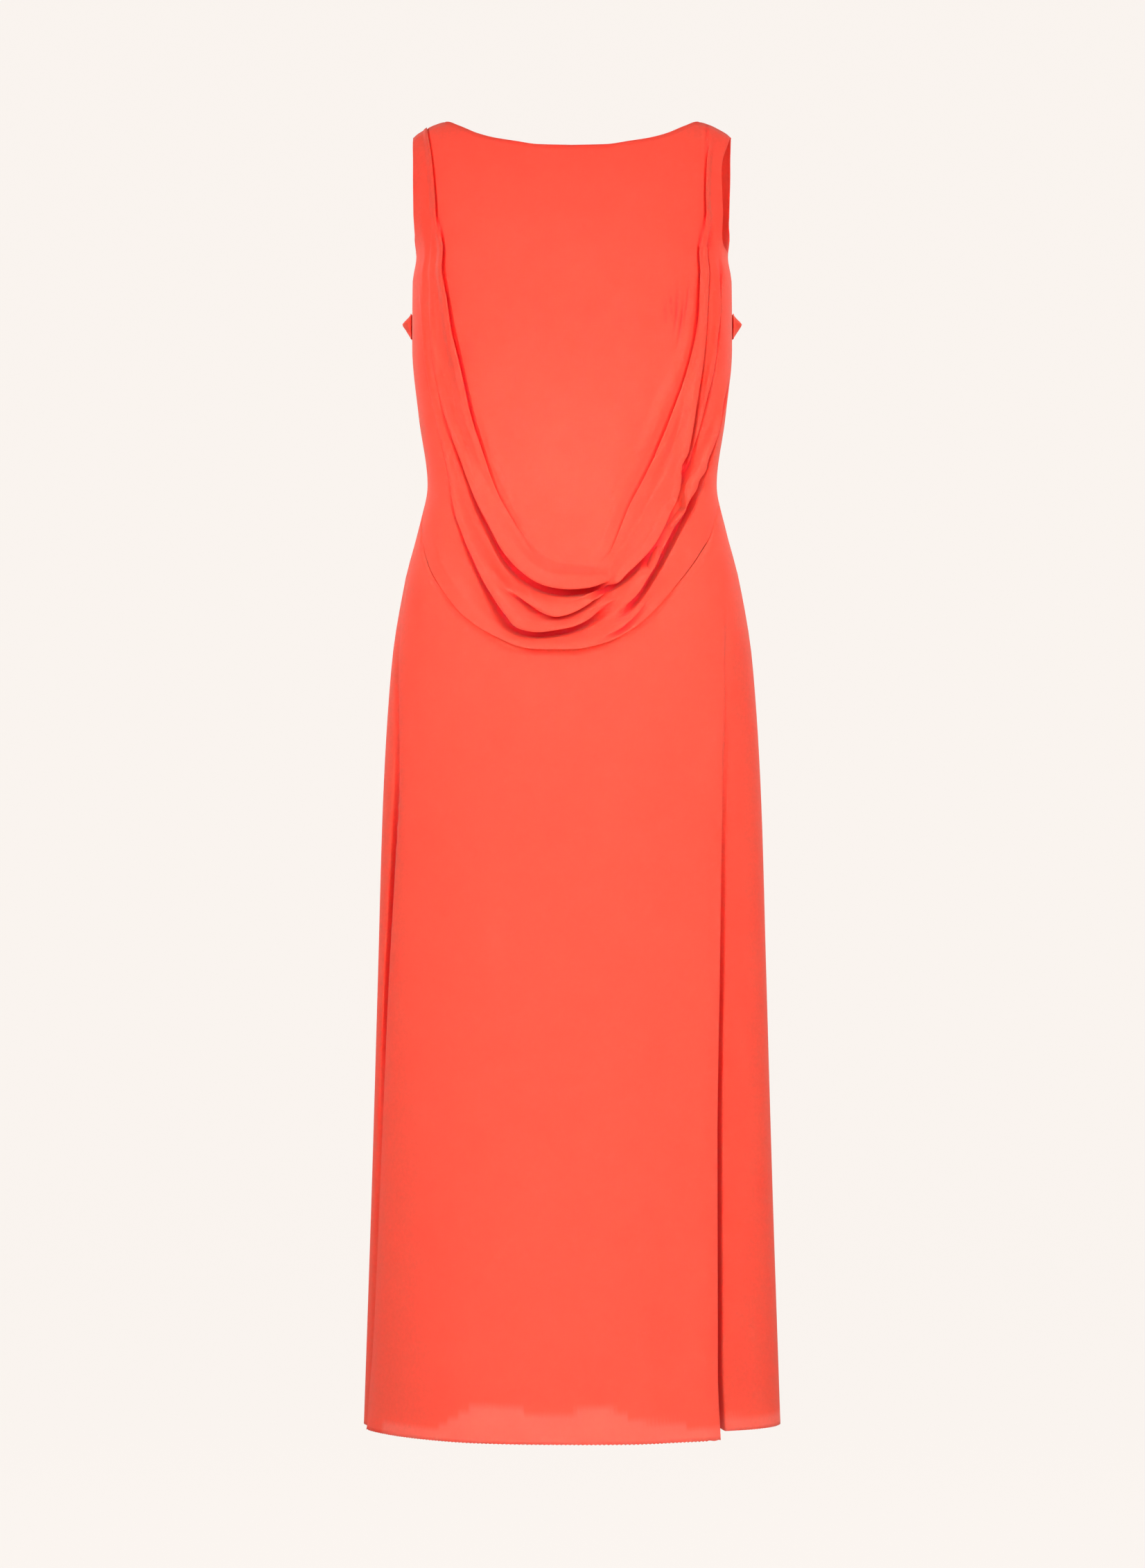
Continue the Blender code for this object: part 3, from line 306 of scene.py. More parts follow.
BACK_FLARES = table(     # soft ridges of the skirt back, fullest at the hem
    BackFlare, (-128, 30, 560, 11), (-34, 38, 640, 8), (62, 30, 600, 12), (142, 26, 700, 8),
)
BACK_SKIRT_COLUMNS = 561
LiningEdge = namedtuple("LiningEdge", "x drop")
LINING_EDGE = table(     # the uneven lower edge of the lining, which shows through the front
    LiningEdge, (-225, 1393), (-201, 1391), (-172, 1394), (-148, 1394), (-133, 1386), (-116, 1376),
    (-105, 1369), (-80, 1366), (-56, 1369), (-44, 1375), (-8, 1377), (2, 1372), (26, 1369), (53, 1372),
    (62, 1381), (84, 1384), (117, 1384), (121, 1391), (150, 1395), (163, 1391), (225, 1391),
)
LINING_TOP_GAP = 3.0     # below the hip seam
LINING_INSIDE = 1.9      # from the skirt's face to the lining's face
LINING_ROWS = 48
LINING_STEP = 3          # skirt columns to one of the lining
# Below the lining's edge the front is painted paler: painted light through a single layer.
PALE_FROM, PALE_OVER = -204.0, 4.0  # x from which a single layer shows, and over which it begins
PALE_EDGE = 2.5          # over which it begins below the lining's edge


# ------------------------ curves and the figure
def smooth_curve(knots, values):
    """Return a function for a smooth curve through the points that doesn't overshoot them."""
    knots = np.asarray(knots, float)
    values = np.asarray(values, float)
    step = np.diff(knots)
    slope = np.diff(values) / step
    before, after = slope[:-1], slope[1:]
    same_way = before * after > 0
    total = np.where(same_way, before + after, 1.0)
    between = np.where(same_way, 2 * before * after / total, 0.0)
    tangent = np.concatenate((slope[:1], between, slope[-1:]))

    def curve(at):
        at = np.clip(at, knots[0], knots[-1])
        i = np.clip(np.searchsorted(knots, at, side="right") - 1, 0, len(step) - 1)
        t = (at - knots[i]) / step[i]
        start, end = values[i], values[i + 1]
        rise_in, rise_out = tangent[i] * step[i], tangent[i + 1] * step[i]
        return ((2 * t**3 - 3 * t**2 + 1) * start + (t**3 - 2 * t**2 + t) * rise_in
                + (3 * t**2 - 2 * t**3) * end + (t**3 - t**2) * rise_out)

    return curve


def column(rows, key, name):
    """A smooth curve of one column of a table over another."""
    return smooth_curve([getattr(row, key) for row in rows], [getattr(row, name) for row in rows])


def finer(values, between):
    """A table's column, with that many smooth steps from each value to the next."""
    index = np.arange(len(values), dtype=float)
    at = np.linspace(0, index[-1], (len(index) - 1) * between + 1)
    return smooth_curve(index, values)(at)


def ease(t):
    """0 to 1 with a soft start and end."""
    t = np.clip(t, 0.0, 1.0)
    return t * t * (3 - 2 * t)


half_width = column(FIGURE, "drop", "half_width")
front_depth = column(FIGURE, "drop", "front")
back_depth = column(FIGURE, "drop", "back")
squareness = column(FIGURE, "drop", "squareness")
front_top = column(FRONT_TOP, "x", "drop")
lining_rim = column(LINING_EDGE, "x", "drop")


def shoulder_line(x):
    """Drop of the line where front and back would meet, carried on over the open neck."""
    x = np.abs(x)
    return np.where(x < NECK_HALF_WIDTH, (x - NECK_HALF_WIDTH) * NECK_SLOPE, front_top(x))


def figure_point(arc, drop, facing):
    """The figure's face, in front where facing is -1 and behind where it is 1."""
    sine = np.sin(arc / ARC_PER_RADIAN)
    power = squareness(drop)
    x = half_width(drop) * sine
    depth = front_depth(drop) if facing < 0 else back_depth(drop)
    depth = depth * np.maximum(1 - np.abs(sine) ** power, 0) ** (1 / power)
    turn = np.clip((drop - shoulder_line(x) - SHOULDER_LAP) / SHOULDER_ROUND, 0, 1)
    return np.stack((x, facing * depth * np.sqrt(1 - (1 - turn) ** 2), -drop), axis=-1)


def figure_normal(arc, drop, facing):
    """Unit vectors square to the figure's face, and level with the shoulders at the side seams."""
    after = np.minimum(arc + NORMAL_STEP, SIDE_SEAM)
    before = np.maximum(arc - NORMAL_STEP, -SIDE_SEAM)
    across = figure_point(after, drop, facing) - figure_point(before, drop, facing)
    down = figure_point(arc, drop + NORMAL_STEP, facing) - figure_point(arc, drop, facing)
    normal = np.cross(across, down) * facing
    at_side = np.abs(arc) > SIDE_SEAM - AT_SIDE
    normal[..., 1] = np.where(at_side, 0.0, normal[..., 1])
    normal[..., 0] = np.where(at_side, np.sign(arc) * np.abs(normal[..., 0]), normal[..., 0])
    return normal / np.linalg.norm(normal, axis=-1, keepdims=True)


def off_figure(arc, drop, height, facing, way=figure_normal):
    """Points at a height from the figure's face, kept on their side of the side seams."""
    points = figure_point(arc, drop, facing) + height[..., None] * way(arc, drop, facing)
    points[..., 1] = facing * np.maximum(facing * points[..., 1], SEAM_HALF_GAP)
    return points


def arc_of(x, drop, out=0.0):
    return ARC_PER_RADIAN * np.arcsin(np.clip(x / (half_width(drop) + out), -1, 1))


def front_top_at(arc):
    return front_top(np.abs(half_width(SHOULDER_DROP) * np.sin(arc / ARC_PER_RADIAN)))


def drop_of_level(arc, level):
    top = front_top_at(arc)
    return np.where(level < ARMHOLE_DROP, top + level * (ARMHOLE_DROP - top) / ARMHOLE_DROP, level)


def level_of_drop(arc, drop):
    top = front_top_at(arc)
    return np.where(drop < ARMHOLE_DROP, (drop - top) * ARMHOLE_DROP / (ARMHOLE_DROP - top), drop)


# ------------------------ folds
KERNEL_REACH = 2.2       # in halves of a fold, how far from its centre the cloth is shifted
KERNEL_SCALE = 1.588     # makes the largest shift 1
SOFT_SAMPLES = 240       # places along a soft line
NEAREST_STEP = 4         # of a line's places, every fourth is measured to
NEAREST_CHUNK = 4000     # places measured at a time
RAY_MARGIN = 6.0         # a line this far past the end of a ray still crosses it


def turn_under(q):
    """Sideways shift of the cloth at q halves from a fold's centre, as a share of the largest."""
    inside = np.clip(1 - (q / KERNEL_REACH) ** 2, 0, 1)
    return -KERNEL_SCALE * q * inside**2


class Line:
    """A smooth line on the front through a table's places, with the table's other columns."""

    def __init__(self, rows, samples=500):
        x = np.array([row.x for row in rows], float)
        drop = np.array([row.drop for row in rows], float)
        arc = arc_of(x, drop)
        level = level_of_drop(arc, drop)
        length = np.concatenate(([0.0], np.cumsum(np.hypot(np.diff(arc), np.diff(level)))))
        at = np.linspace(0, length[-1], samples)
        self.arc = smooth_curve(length, arc)(at)
        self.level = smooth_curve(length, level)(at)
        self.columns = {name: smooth_curve(length, [getattr(row, name) for row in rows])(at)
                        for name in rows[0]._fields[2:]}

    def crossing(self, start, end):
        """Distance along the ray and the table's columns where the line crosses it, or None."""
        along = end - start
        reach = np.hypot(*along)
        along = along / reach
        offset = np.stack((self.arc - start[0], self.level - start[1]), axis=-1)
        beside = offset @ np.array((-along[1], along[0]))
        ahead = offset @ along
        on_ray = (ahead[:-1] > -RAY_MARGIN) & (ahead[:-1] < reach + RAY_MARGIN)
        places = np.nonzero((beside[:-1] * beside[1:] <= 0) & on_ray)[0]
        if len(places) == 0:
            return None
        i = places[np.argmin(ahead[places])]
        gap = beside[i] - beside[i + 1]
        t = beside[i] / gap if gap else 0.0
        sizes = {name: values[i] + (values[i + 1] - values[i]) * t
                 for name, values in self.columns.items()}
        return ahead[i] + (ahead[i + 1] - ahead[i]) * t, sizes

    def nearest(self, arc, level):
        """Distance from each place to the line, and the columns there."""
        shape = np.shape(arc)
        flat = np.stack((np.ravel(arc), np.ravel(level)), axis=-1)
        points = np.stack((self.arc, self.level), axis=-1)
        distance = np.empty(len(flat))
        index = np.empty(len(flat), int)
        for first in range(0, len(flat), NEAREST_CHUNK):
            part = flat[first:first + NEAREST_CHUNK]
            squared = ((part[:, None, :] - points[None, ::NEAREST_STEP, :]) ** 2).sum(-1)
            best = squared.argmin(1)
            index[first:first + NEAREST_CHUNK] = best * NEAREST_STEP
            distance[first:first + NEAREST_CHUNK] = np.sqrt(squared[np.arange(len(part)), best])
        columns = {name: values[index].reshape(shape) for name, values in self.columns.items()}
        return distance.reshape(shape), columns


def soft_lines(tables, samples=SOFT_SAMPLES):
    return [Line(rows, samples) for rows in tables]


def soft_height(lines, arc, level):
    """Summed height of the soft ridges and troughs at each place."""
    total = np.zeros(np.shape(arc))
    for line in lines:
        distance, sizes = line.nearest(arc, level)
        total = total + sizes["height"] * np.exp(-(distance / sizes["width"]) ** 2)
    return total


# Depth of the groove behind a fold, as a share of its height, and the width of it that shows, in
# halves, for each side that a fold can lie over.
GROOVE = {OVER_INNER: (0.6, 1.5), OVER_OUTER: (1.0, 2.1)}
FULL_OVERLAP = 1.5       # with this overlap an edge turns wholly under
TURN_WIDTH = 1.2         # in halves, from the centre of a fold to where its cloth faces back
SOFT_CLIMB = 0.45        # share of the climb to an edge that starts and ends softly
GROOVE_LEAD = 0.2        # in halves, how far before the centre of a fold its groove starts
GROOVE_FULL = 0.3        # share of the groove's width over which it keeps its depth
FULL_SHADE_FOLD = 5.5          # a fold this high gets the fullest painted shade behind it
CLEAR_OF_FOLD = 4.0      # cloth that stands out this far isn't in a fold and gets no painted shade


def fold_shifts(across, edge, sizes, facing):
    """Sideways shift, height and painted shade of the cloth at each place across one fold."""
    half, overlap = sizes["half"], sizes["overlap"]
    amount = ease(overlap / FULL_OVERLAP)
    shift = amount * (half + overlap / 2)
    centre = edge + facing * (half - shift)
    q = (across - centre) / half
    side = q * facing
    turned = 0.5 + 0.5 * np.sin(np.clip(side / TURN_WIDTH, -1, 1) * math.pi / 2)
    way = np.clip((side * half + sizes["rise"] + TURN_WIDTH * half) / sizes["rise"], 0, 1)
    climbed = SOFT_CLIMB * ease(way) + (1 - SOFT_CLIMB) * np.sin(way * math.pi / 2)
    depth, width = GROOVE[facing]
    past_edge = ((across - edge) * facing - sizes["hidden"]) / (width * half)
    groove = amount * ease(side + GROOVE_LEAD)
    groove = groove * (1 - ease((past_edge - GROOVE_FULL) / (1 - GROOVE_FULL)))
    height = sizes["stands_out"] * (climbed * (1 - turned) - depth * groove)
    return shift * turn_under(q), height, groove * ease(sizes["stands_out"] / FULL_SHADE_FOLD)


# ------------------------ meshes and cloth objects
def quads_of(number):
    """Quads between the neighbours in a grid of point numbers."""
    corners = number[:-1, :-1], number[1:, :-1], number[1:, 1:], number[:-1, 1:]
    return np.stack(corners, axis=-1).reshape(-1, 4)


def grid_quads(rows, columns, flip=False):
    quads = quads_of(np.arange(rows * columns).reshape(rows, columns))
    return quads[:, ::-1] if flip else quads


def new_object(name, data):
    made = bpy.data.objects.new(name, data)
    SCENE.collection.objects.link(made)
    return made


def cloth_object(node, points, quads, material, shades=None):
    """A thin shell from points in millimetres; it stands for the CAD node."""
    mesh = bpy.data.meshes.new(node + "_cloth")
    places = np.asarray(points, float).reshape(-1, 3) * MM
    mesh.from_pydata(places.tolist(), [], np.asarray(quads).tolist())
    for attribute, values in (shades or {}).items():
        layer = mesh.attributes.new(attribute, "FLOAT", "POINT")
        layer.data.foreach_set("value", np.ravel(values).astype(np.float32))
    mesh.shade_smooth()
    piece = new_object(mesh.name, mesh)
    piece.data.materials.append(material)
    shell = piece.modifiers.new("thickness", "SOLIDIFY")
    shell.thickness = SHELL * MM
    shell.offset = -1
    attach(piece, "root")
    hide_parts(node)
    return piece


# ------------------------ the draped bodice front
FORWARD = 2.0            # folds stand out this much straight forward, to 1 square to the figure
LIP_TURN = 8             # places round the lowest edge, back to the seam
LIP_BULGE = 2.0          # how far the turned cloth swells past a straight way back
LIP_RISE = 22.0          # how far above the lowest edge its roll starts to stand out
FULL_LIP = 6.0           # a lip that stands out this far hangs and turns wholly
WALL_THAT_HOLDS = 14.0   # a fold this high keeps the next one's rise wholly past it
WALL_HALVES = 1.5        # the rise then starts this far past it, in halves of the next one
LEAST_RISE = 2.0
GROOVE_HIDDEN = 0.5      # share of a groove's depth that counts for how much its edge hides
LEAST_STAND = 0.01       # a fold lower than this isn't met
RAY_DROP = 150.0         # a drop near every ray's, from which its real arc is found
DENSITY_SAMPLES = 1200
PLAIN_DENSITY = 0.45     # of the places along a ray, away from folds
FOLD_DENSITY = 2.6       # of the places at the turn of a fold, for a half of 1
FOLD_SPREAD = 2.6        # in halves, how far round the turn they are close together
DENSE_FOLD = 6.0         # a fold this high has them all
SHARE_PASSES = 30        # times that the places are evened out from ray to ray
CLOTH_PASSES = 3
AT_SEAM = 0.5            # the panel this close to its top is in the seam
FULL_SHADE_CREASE = 2.2        # a drag line this deep gets as much painted shade as a fold


def stands_out_way(arc, drop, facing):
    """Unit vectors along which folds stand out."""
    way = figure_normal(arc, drop, facing) + np.array((0.0, facing * FORWARD, 0.0))
    return way / np.linalg.norm(way, axis=-1, keepdims=True)


def fine_rays():
    """Starts, ends and lips of all the fine rays, from the table."""
    inner_x, inner_level, outer_x, outer_level, lip_hang, lip_out = np.array(FRONT_RAYS, float).T
    inner_arc = arc_of(inner_x, drop_of_level(arc_of(inner_x, RAY_DROP), inner_level))
    outer_arc = arc_of(outer_x, drop_of_level(arc_of(outer_x, RAY_DROP), outer_level))
    columns = inner_arc, inner_level, outer_arc, outer_level, lip_hang, lip_out
    return np.stack([finer(values, RAYS_BETWEEN) for values in columns], axis=-1)


def fold_crossings(row, folds):
    """The folds that a ray meets, from the panel outwards, each with its place and sizes."""
    start, end = row[0:2], row[2:4]
    along = (end - start) / np.hypot(*(end - start))
    crossings = []
    for facing, line in folds:
        found = line.crossing(start, end)
        if found is None or found[1]["stands_out"] <= LEAST_STAND:
            continue
        edge, sizes = found
        arc, level = (start + along * edge)[:, None]
        way = stands_out_way(arc, drop_of_level(arc, level), -1)[0]
        # The edge stands out sideways too, and so hides this much of the groove behind it.
        depth = (1 + GROOVE_HIDDEN * GROOVE[facing][0]) * sizes["stands_out"]
        sizes["hidden"] = max(depth * facing * along[0] * way[0] / abs(way[1]), 0.0)
        crossings.append((facing, edge, sizes))
    crossings.sort(key=lambda crossing: crossing[1])
    for (_, before, wall), (facing, edge, sizes) in zip(crossings[:-1], crossings[1:]):
        if facing == OVER_OUTER:
            room = max(edge - before - WALL_HALVES * sizes["half"], LEAST_RISE)
            hold = ease(wall["stands_out"] / WALL_THAT_HOLDS)
            sizes["rise"] += (min(sizes["rise"], room) - sizes["rise"]) * hold
    return crossings


def shares_along(finish, crossings):
    """Shares of the way along a ray, closer together where a fold turns."""
    fine = np.linspace(0, finish, DENSITY_SAMPLES)
    density = np.full(len(fine), PLAIN_DENSITY)
    for _, edge, sizes in crossings:
        strength = ease(sizes["stands_out"] / DENSE_FOLD) * FOLD_DENSITY / sizes["half"]
        spread = FOLD_SPREAD * sizes["half"] + sizes["overlap"]
        density = density + strength * np.exp(-((fine - edge) / spread) ** 2)
    total = np.concatenate(([0.0], np.cumsum((density[1:] + density[:-1]) / 2)))
    return np.interp(np.linspace(0, total[-1], ACROSS), total, fine) / finish


def even_out(values, passes):
    """Smooth along the first axis, with the two ends kept."""
    for _ in range(passes):
        values[1:-1] = 0.25 * values[:-2] + 0.5 * values[1:-1] + 0.25 * values[2:]


def drape_ray(row, crossings, shares):
    """Arcs, levels, heights and painted shade along a ray, from the panel to the outer edge."""
    start, end = row[0:2], row[2:4]
    lip_hang, lip_out = row[4:6]
    reach = np.hypot(*(end - start))
    along = (end - start) / reach
    lip = ease(lip_out / FULL_LIP)
    finish = reach + lip_hang * lip
    across = shares * finish
    place = across.copy()
    height = np.zeros_like(across)
    deep = np.zeros_like(across)
    for facing, edge, sizes in crossings:
        shift, lift, shade = fold_shifts(across, edge, sizes, facing)
        place = place + shift
        height = height + lift
        deep = np.maximum(deep, shade)
    # painted shade fades where the cloth stands clear of a fold
    deep = deep * ease(1 - height / CLEAR_OF_FOLD)
    height = height + lip_out * ease(1 - (finish - across) / LIP_RISE)
    turn = np.linspace(0, 1, LIP_TURN + 1)[1:]
    bulge = LIP_BULGE * lip * np.sin(turn * math.pi) * (1 - turn)
    under = finish + (reach - finish) * turn + bulge
    place = np.maximum(np.concatenate((place, under)), 0.0)
    height = np.concatenate((height, height[-1] * np.cos(turn * math.pi / 2)))
    deep = np.concatenate((deep, np.zeros(LIP_TURN)))
    return start[0] + along[0] * place, start[1] + along[1] * place, height, deep


def sheet_points(arc, level, height, facing):
    """Points of a sheet whose folds stand out, kept on its side of all the seams."""
    drop = drop_of_level(arc, level)
    points = off_figure(arc, drop, height, facing, stands_out_way)
    in_shoulder_seam = (level < AT_SEAM) & (np.abs(points[..., 0]) > NECK_HALF_WIDTH)
    points[..., 1] = np.where(in_shoulder_seam, facing * SEAM_HALF_GAP, points[..., 1])
    return points


def fill_between(left, right, top, bottom):
    """A grid of places blended from the places along its four edges."""
    u = np.linspace(0, 1, len(top))[None, :, None]
    v = np.linspace(0, 1, len(left))[:, None, None]
    sides = (1 - u) * left[:, None] + u * right[:, None]
    ends = (1 - v) * top[None] + v * bottom[None]
    corners = ((1 - v) * ((1 - u) * left[0] + u * right[0])
               + v * ((1 - u) * left[-1] + u * right[-1]))
    return sides + ends - corners


def bodice_front(material):
    """The rays with their folds, and the centre panel that fills the space inside them."""
    folds = [(facing, Line(rows)) for facing, rows in FRONT_FOLDS]
    soft, creases = soft_lines(FRONT_SOFT), soft_lines(TENSION_CREASES)
    rays = fine_rays()
    met = [fold_crossings(row, folds) for row in rays]
    finishes = [np.hypot(*(row[2:4] - row[0:2])) + row[4] * ease(row[5] / FULL_LIP) for row in rays]
    shares = np.array([shares_along(*parts) for parts in zip(finishes, met)])
    even_out(shares, SHARE_PASSES)
    made = [drape_ray(*parts) for parts in zip(rays, met, shares)]
    arc, level, height, deep = (np.array([ray[k] for ray in made]) for k in range(4))
    height = height + soft_height(soft, arc, level)
    # painted shade in the drag lines, darker where their troughs are deeper
    deep = np.maximum(deep, -soft_height(creases, arc, level) / FULL_SHADE_CREASE)
    for values in (arc, level, height, deep):
        even_out(values, CLOTH_PASSES)
    folded = sheet_points(arc, level, height, -1)
    count, across = arc.shape

    corner = CORNER * RAYS_BETWEEN
    starts = np.stack((arc[:, 0], level[:, 0]), axis=-1)
    wide = count - 2 * corner
    left, right = starts[:corner + 1], starts[::-1][:corner + 1]
    top = np.stack((np.linspace(left[0, 0], right[0, 0], wide), np.zeros(wide)), axis=-1)
    arc, level = np.moveaxis(fill_between(left, right, top, starts[corner:corner + wide]), -1, 0)
    panel = sheet_points(arc, level, soft_height(soft, arc, level), -1)
    # painted shade in the drag lines on the panel
    panel_painted_shade = -soft_height(creases, arc, level) / FULL_SHADE_CREASE

    # The panel shares its sides and bottom with the starts of the rays.
    number = -np.ones(panel.shape[:2], int)
    number[:, 0] = np.arange(corner + 1) * across
    number[:, -1] = (count - 1 - np.arange(corner + 1)) * across
    number[-1, :] = (corner + np.arange(wide)) * across
    own = number < 0
    number[own] = count * across + np.arange(own.sum())
    points = np.concatenate((folded.reshape(-1, 3), panel[own]))
    deep = np.concatenate((deep.ravel(), panel_painted_shade[own]))
    quads = np.concatenate((grid_quads(count, across, flip=True), quads_of(number)))
    return cloth_object("bodice_front", points, quads, material, {"painted_fold_shade": deep})


# ------------------------ the open back and its strap
def bodice_back(material):
    inner_x, inner_drop, outer_x, outer_drop = np.array(BACK_RAYS, float).T
    columns = arc_of(inner_x, inner_drop), arc_of(outer_x, outer_drop), inner_drop, outer_drop
    inner_arc, outer_arc, inner_drop, outer_drop = (
        finer(values, BACK_RAYS_BETWEEN)[:, None] for values in columns)
    share = np.linspace(0, 1, BACK_ACROSS)
    half_arc = inner_arc + (outer_arc - inner_arc) * share
    half_drop = inner_drop + (outer_drop - inner_drop) * share
    arc = np.concatenate((-half_arc, half_arc[-2::-1]))
    drop = np.concatenate((half_drop, half_drop[-2::-1]))
    inside_edges = ease(4 * share * (1 - share) / BACK_EDGE)
    height = soft_height(soft_lines(BACK_SOFT), arc, level_of_drop(arc, drop)) * inside_edges
    points = off_figure(arc, drop, height, 1)
    points[[0, -1], :, 1] = SEAM_HALF_GAP  # the two shoulder seams
    return cloth_object("bodice_back", points, grid_quads(*arc.shape), material)


def back_band(material):
    """The folded strap: out from the back to the crease along it, and in again."""
    reach = SIDE_SEAM - AT_SIDE
    arc = np.linspace(reach, -reach, BAND_COLUMNS)
    toward_side = ease((np.abs(arc) - BAND_SIDE_STARTS) / BAND_SIDE_LENGTH)
    crease = BAND_CREASE_AT_BACK + (BAND_CREASE_AT_SIDE - BAND_CREASE_AT_BACK) * toward_side
    closing = np.sin(np.clip((reach - np.abs(arc)) / BAND_END, 0, 1) * math.pi / 2)
    heights = BAND_TOP, BAND_CREASE, BAND_BOTTOM
    drop = np.interp(np.linspace(0, 1, BAND_LINES), (0, BAND_LINES_ABOVE, 1), heights)
    share = np.interp(drop, heights, (0, 1, 0))
    share = share - BAND_NOTCH * np.exp(-((drop - BAND_CREASE) / BAND_NOTCH_WIDTH) ** 2)
    arc, drop = np.meshgrid(arc, drop)
    out = BAND_CLEARANCE + (crease - BAND_CLEARANCE) * closing * share[:, None]
    wrinkles = soft_lines(BAND_WRINKLES, BAND_SAMPLES)
    out = out + soft_height(wrinkles, arc, level_of_drop(arc, drop)) * closing
    points = off_figure(arc, drop, out, 1)
    return cloth_object("back_band", points, grid_quads(*arc.shape), material)


# ------------------------ the skirt and its lining
def hip_seam(arc):
    """Drop of the curved seam under the draped front."""
    rays = fine_rays()
    rays = rays[rays[:, 3] >= WAIST_DROP - 0.01]
    return np.interp(arc, rays[:, 2], rays[:, 3])


def waist_seam(arc):
    return WAIST_DROP + WAIST_DIP * (1 - (arc / SIDE_SEAM) ** 2)


def scallops(arc):
    return HEM_SCALLOP * (0.5 + 0.5 * np.cos(arc * 2 * math.pi / SCALLOP_LENGTH))


def skirt_drops(top, hem):
    """Drops of every column, a row for each level from the seam to the hem."""
    share = np.linspace(0, 1, SKIRT_ROWS)[:, None]
    share = EVEN_ROWS * share + (1 - EVEN_ROWS) * np.sin(share * math.pi / 2) ** ROW_POWER
    return top + (hem - top) * share


def skirt_half(rows, side):
    """Arcs, drops, heights and slots of half of the front, from its centre outwards."""
    fold = {name: column(rows, "drop", name) for name in SkirtFold._fields[1:]}
    level = np.linspace(WAIST_DROP, HEM_DROP, SKIRT_ROWS)[:, None]
    edge = arc_of(fold["x"](level), level, fold["stands_out"](level))
    reach = KERNEL_REACH * SKIRT_FOLD_HALF
    near = np.minimum(edge, SIDE_SEAM - SIDE_MARGIN) - reach - SKIRT_FOLD_BEFORE
    far = near + 2 * reach + SKIRT_FOLD_SPARE
    before, across, past = SKIRT_SHARES
    flat = np.concatenate((
        near * np.linspace(0, 1, before, endpoint=False),
        near + (far - near) * np.linspace(0, 1, across, endpoint=False),
        far + (SIDE_SEAM - far) * np.linspace(0, 1, past)), axis=1)
    top = hip_seam(side * flat[:1]) + HIP_SEAM_GAP
    drop = skirt_drops(top, HEM_DROP - scallops(flat[-1:]))
    sizes = {name: curve(drop) for name, curve in fold.items()}
    overlap = sizes["overlap"]
    edge = arc_of(sizes["x"], drop, sizes["stands_out"])
    amount = ease((overlap - SKIRT_TURN_FROM) / SKIRT_TURN_OVER) * np.minimum(overlap, 1.0)
    shift = amount * (SKIRT_FOLD_HALF + overlap / 2)
    centre = np.minimum(edge + SKIRT_FOLD_HALF - shift, SIDE_SEAM - SIDE_MARGIN)
    q = (flat - centre) / SKIRT_FOLD_HALF
    turned = 0.5 + 0.5 * np.sin(np.clip(q / TURN_WIDTH, -1, 1) * math.pi / 2)
    climbed = ease((q * SKIRT_FOLD_HALF + SKIRT_FOLD_RISE + TURN_WIDTH * SKIRT_FOLD_HALF)
                   / SKIRT_FOLD_RISE)
    past_fold = (flat - centre - SKIRT_FOLD_HALF) / (SIDE_SEAM + SINK_PAST_SEAM - centre - reach)
    sunk = sizes["sink"] * turned * (1 - ease(past_fold))
    height = sizes["stands_out"] * climbed * (1 - turned) - sunk
    height[:, -1] = 0.0
    slot = np.where(flat > centre, sizes["slot"], 0.0)
    return side * (flat + shift * turn_under(q)), drop, height, slot


def skirt_front_points():
    """Points of the front, and the painted shade of each in the slot behind a fold."""
    left, right = skirt_half(LEFT_SKIRT_FOLD, -1), skirt_half(RIGHT_SKIRT_FOLD, 1)
    arc, drop, height, slot = (
        np.concatenate((a[:, :0:-1], b), axis=1) for a, b in zip(left, right))
    height = height + soft_height(soft_lines(SKIRT_SOFT), arc, level_of_drop(arc, drop))
    points = off_figure(arc, drop, height, -1)
    deep = np.zeros_like(arc)
    for side in (-1, 1):
        reach = side * points[..., 0]
        front_edge = np.where((slot == 0) & (side * arc > 0), reach, 0).max(axis=1, keepdims=True)
        inside = (slot > 0) & (side * arc > 0)
        deep = np.where(inside, 1 - ease((reach - front_edge) / SLOT_WIDTH), deep)
    points[..., 1] = np.minimum(points[..., 1] + slot * deep, -SEAM_HALF_GAP)
    # the second value is painted shade in the slot, strongest next to the front's edge
    return points, deep * ease(slot / FULL_SHADE_SLOT)


def skirt_back_points():
    arc = np.tile(np.linspace(-SIDE_SEAM, SIDE_SEAM, BACK_SKIRT_COLUMNS), (SKIRT_ROWS, 1))
    drop = skirt_drops(waist_seam(arc[:1]) + HIP_SEAM_GAP, HEM_DROP - scallops(arc[-1:]))
    height = np.zeros_like(arc)
    for flare in BACK_FLARES:
        grown = ease((drop - flare.starts) / (HEM_DROP - flare.starts))
        aside = (arc - arc_of(flare.x, HEM_DROP)) / flare.width
        height = height + flare.stands_out * grown * np.exp(-aside ** 2)
    return off_figure(arc, drop, height, 1)


